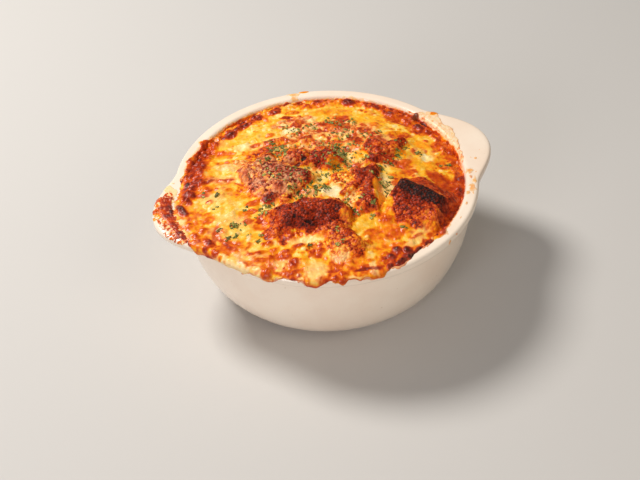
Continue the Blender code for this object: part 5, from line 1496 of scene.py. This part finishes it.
def floor_material():
    n = Nodes("studio_floor")
    n.shader.inputs["Base Color"].default_value = (0.60, 0.585, 0.565, 1.0)
    n.shader.inputs["Roughness"].default_value = 0.75
    return n.m


# =====================================================================================
# Stage, light and camera
# =====================================================================================
def make_stage():
    mesh = bpy.data.meshes.new("studio_floor")
    s = 3.0
    mesh.from_pydata([(-s, -s, 0), (s, -s, 0), (s, s, 0), (-s, s, 0)], [], [(0, 1, 2, 3)])
    o = bpy.data.objects.new("studio_floor", mesh)
    bpy.context.scene.collection.objects.link(o)
    o.location.z = -0.00002
    mesh.materials.append(floor_material())


def area_light(name, at, to, size, power, colour):
    light = bpy.data.lights.new(name, "AREA")
    light.shape, light.size, light.energy, light.color = "DISK", size, power, colour
    o = bpy.data.objects.new(name, light)
    o.location = at
    o.rotation_euler = (Vector(to) - Vector(at)).to_track_quat("-Z", "Y").to_euler()
    bpy.context.scene.collection.objects.link(o)


VIEW_TURN = math.radians(-19.5)     # the view looks along +Y turned by this


def turned(x, y, z):
    c, s = math.cos(VIEW_TURN), math.sin(VIEW_TURN)
    return (x * c - y * s, x * s + y * c, z)


def make_camera():
    elevation, distance, roll, focal = math.radians(42.83), 8.040 * RIM_R * MM, math.radians(-2.50), 1150.0
    aim_u, aim_v = 329.5, 259.1     # where the bowl's origin falls in a 640 by 480 frame
    C = np.array([0.0, -math.cos(elevation), math.sin(elevation)]) * distance
    forward = -C / np.linalg.norm(C)
    right = np.array([1.0, 0.0, 0.0])
    R = np.stack([right, -np.cross(right, forward), forward])
    ax, ay = math.atan2(aim_u - 320, focal), math.atan2(aim_v - 240, focal)
    Rx = np.array([[math.cos(ax), 0, math.sin(ax)], [0, 1, 0], [-math.sin(ax), 0, math.cos(ax)]])
    Ry = np.array([[1, 0, 0], [0, math.cos(ay), math.sin(ay)], [0, -math.sin(ay), math.cos(ay)]])
    Rz = np.array([[math.cos(roll), -math.sin(roll), 0], [math.sin(roll), math.cos(roll), 0], [0, 0, 1]])
    R = Ry @ Rx @ Rz @ R
    axes = [Vector(turned(*R[0])), Vector(turned(*-R[1])), Vector(turned(*-R[2]))]
    data = bpy.data.cameras.new("camera")
    data.sensor_width, data.lens = 36.0, focal / 640 * 36.0
    data.clip_start, data.clip_end = 0.01, 20.0
    o = bpy.data.objects.new("camera", data)
    M = Matrix.Identity(4)
    for k in range(3):
        for i in range(3):
            M[i][k] = axes[k][i]
    at = turned(*C)
    for i in range(3):
        M[i][3] = at[i]
    o.matrix_world = M
    bpy.context.scene.collection.objects.link(o)
    bpy.context.scene.camera = o


def make_light():
    world = bpy.data.worlds.new("studio")
    world.use_nodes = True
    world.node_tree.nodes["Background"].inputs["Color"].default_value = (1.0, 0.985, 0.96, 1.0)
    world.node_tree.nodes["Background"].inputs["Strength"].default_value = 0.17
    bpy.context.scene.world = world
    area_light("key", turned(-0.55, 0.35, 0.85), (0, 0, 0.04), 0.34, 10.9, (1.0, 0.96, 0.91))
    area_light("fill", turned(0.6, -0.5, 0.7), (0, 0, 0.04), 0.6, 2.0, (1.0, 0.88, 0.74))
    area_light("front", turned(-0.55, -0.95, 0.42), (0, 0, 0.03), 0.5, 4.4, (0.98, 0.95, 0.98))
    scene = bpy.context.scene
    scene.view_settings.view_transform = "Standard"
    scene.view_settings.look = "None"
    scene.view_settings.exposure = 0.0


def main():
    cheese, toasted = cheese_material("baked_cheese", 0.30), cheese_material("toasted_crust", 0.12)
    make_bowl(glaze_material())
    make_gratin(cheese)
    make_edge_crust(cheese)
    for name in TOASTS:
        make_toast(name, toasted)
    make_parsley(parsley_material())
    make_stage()
    make_light()
    make_camera()


main()
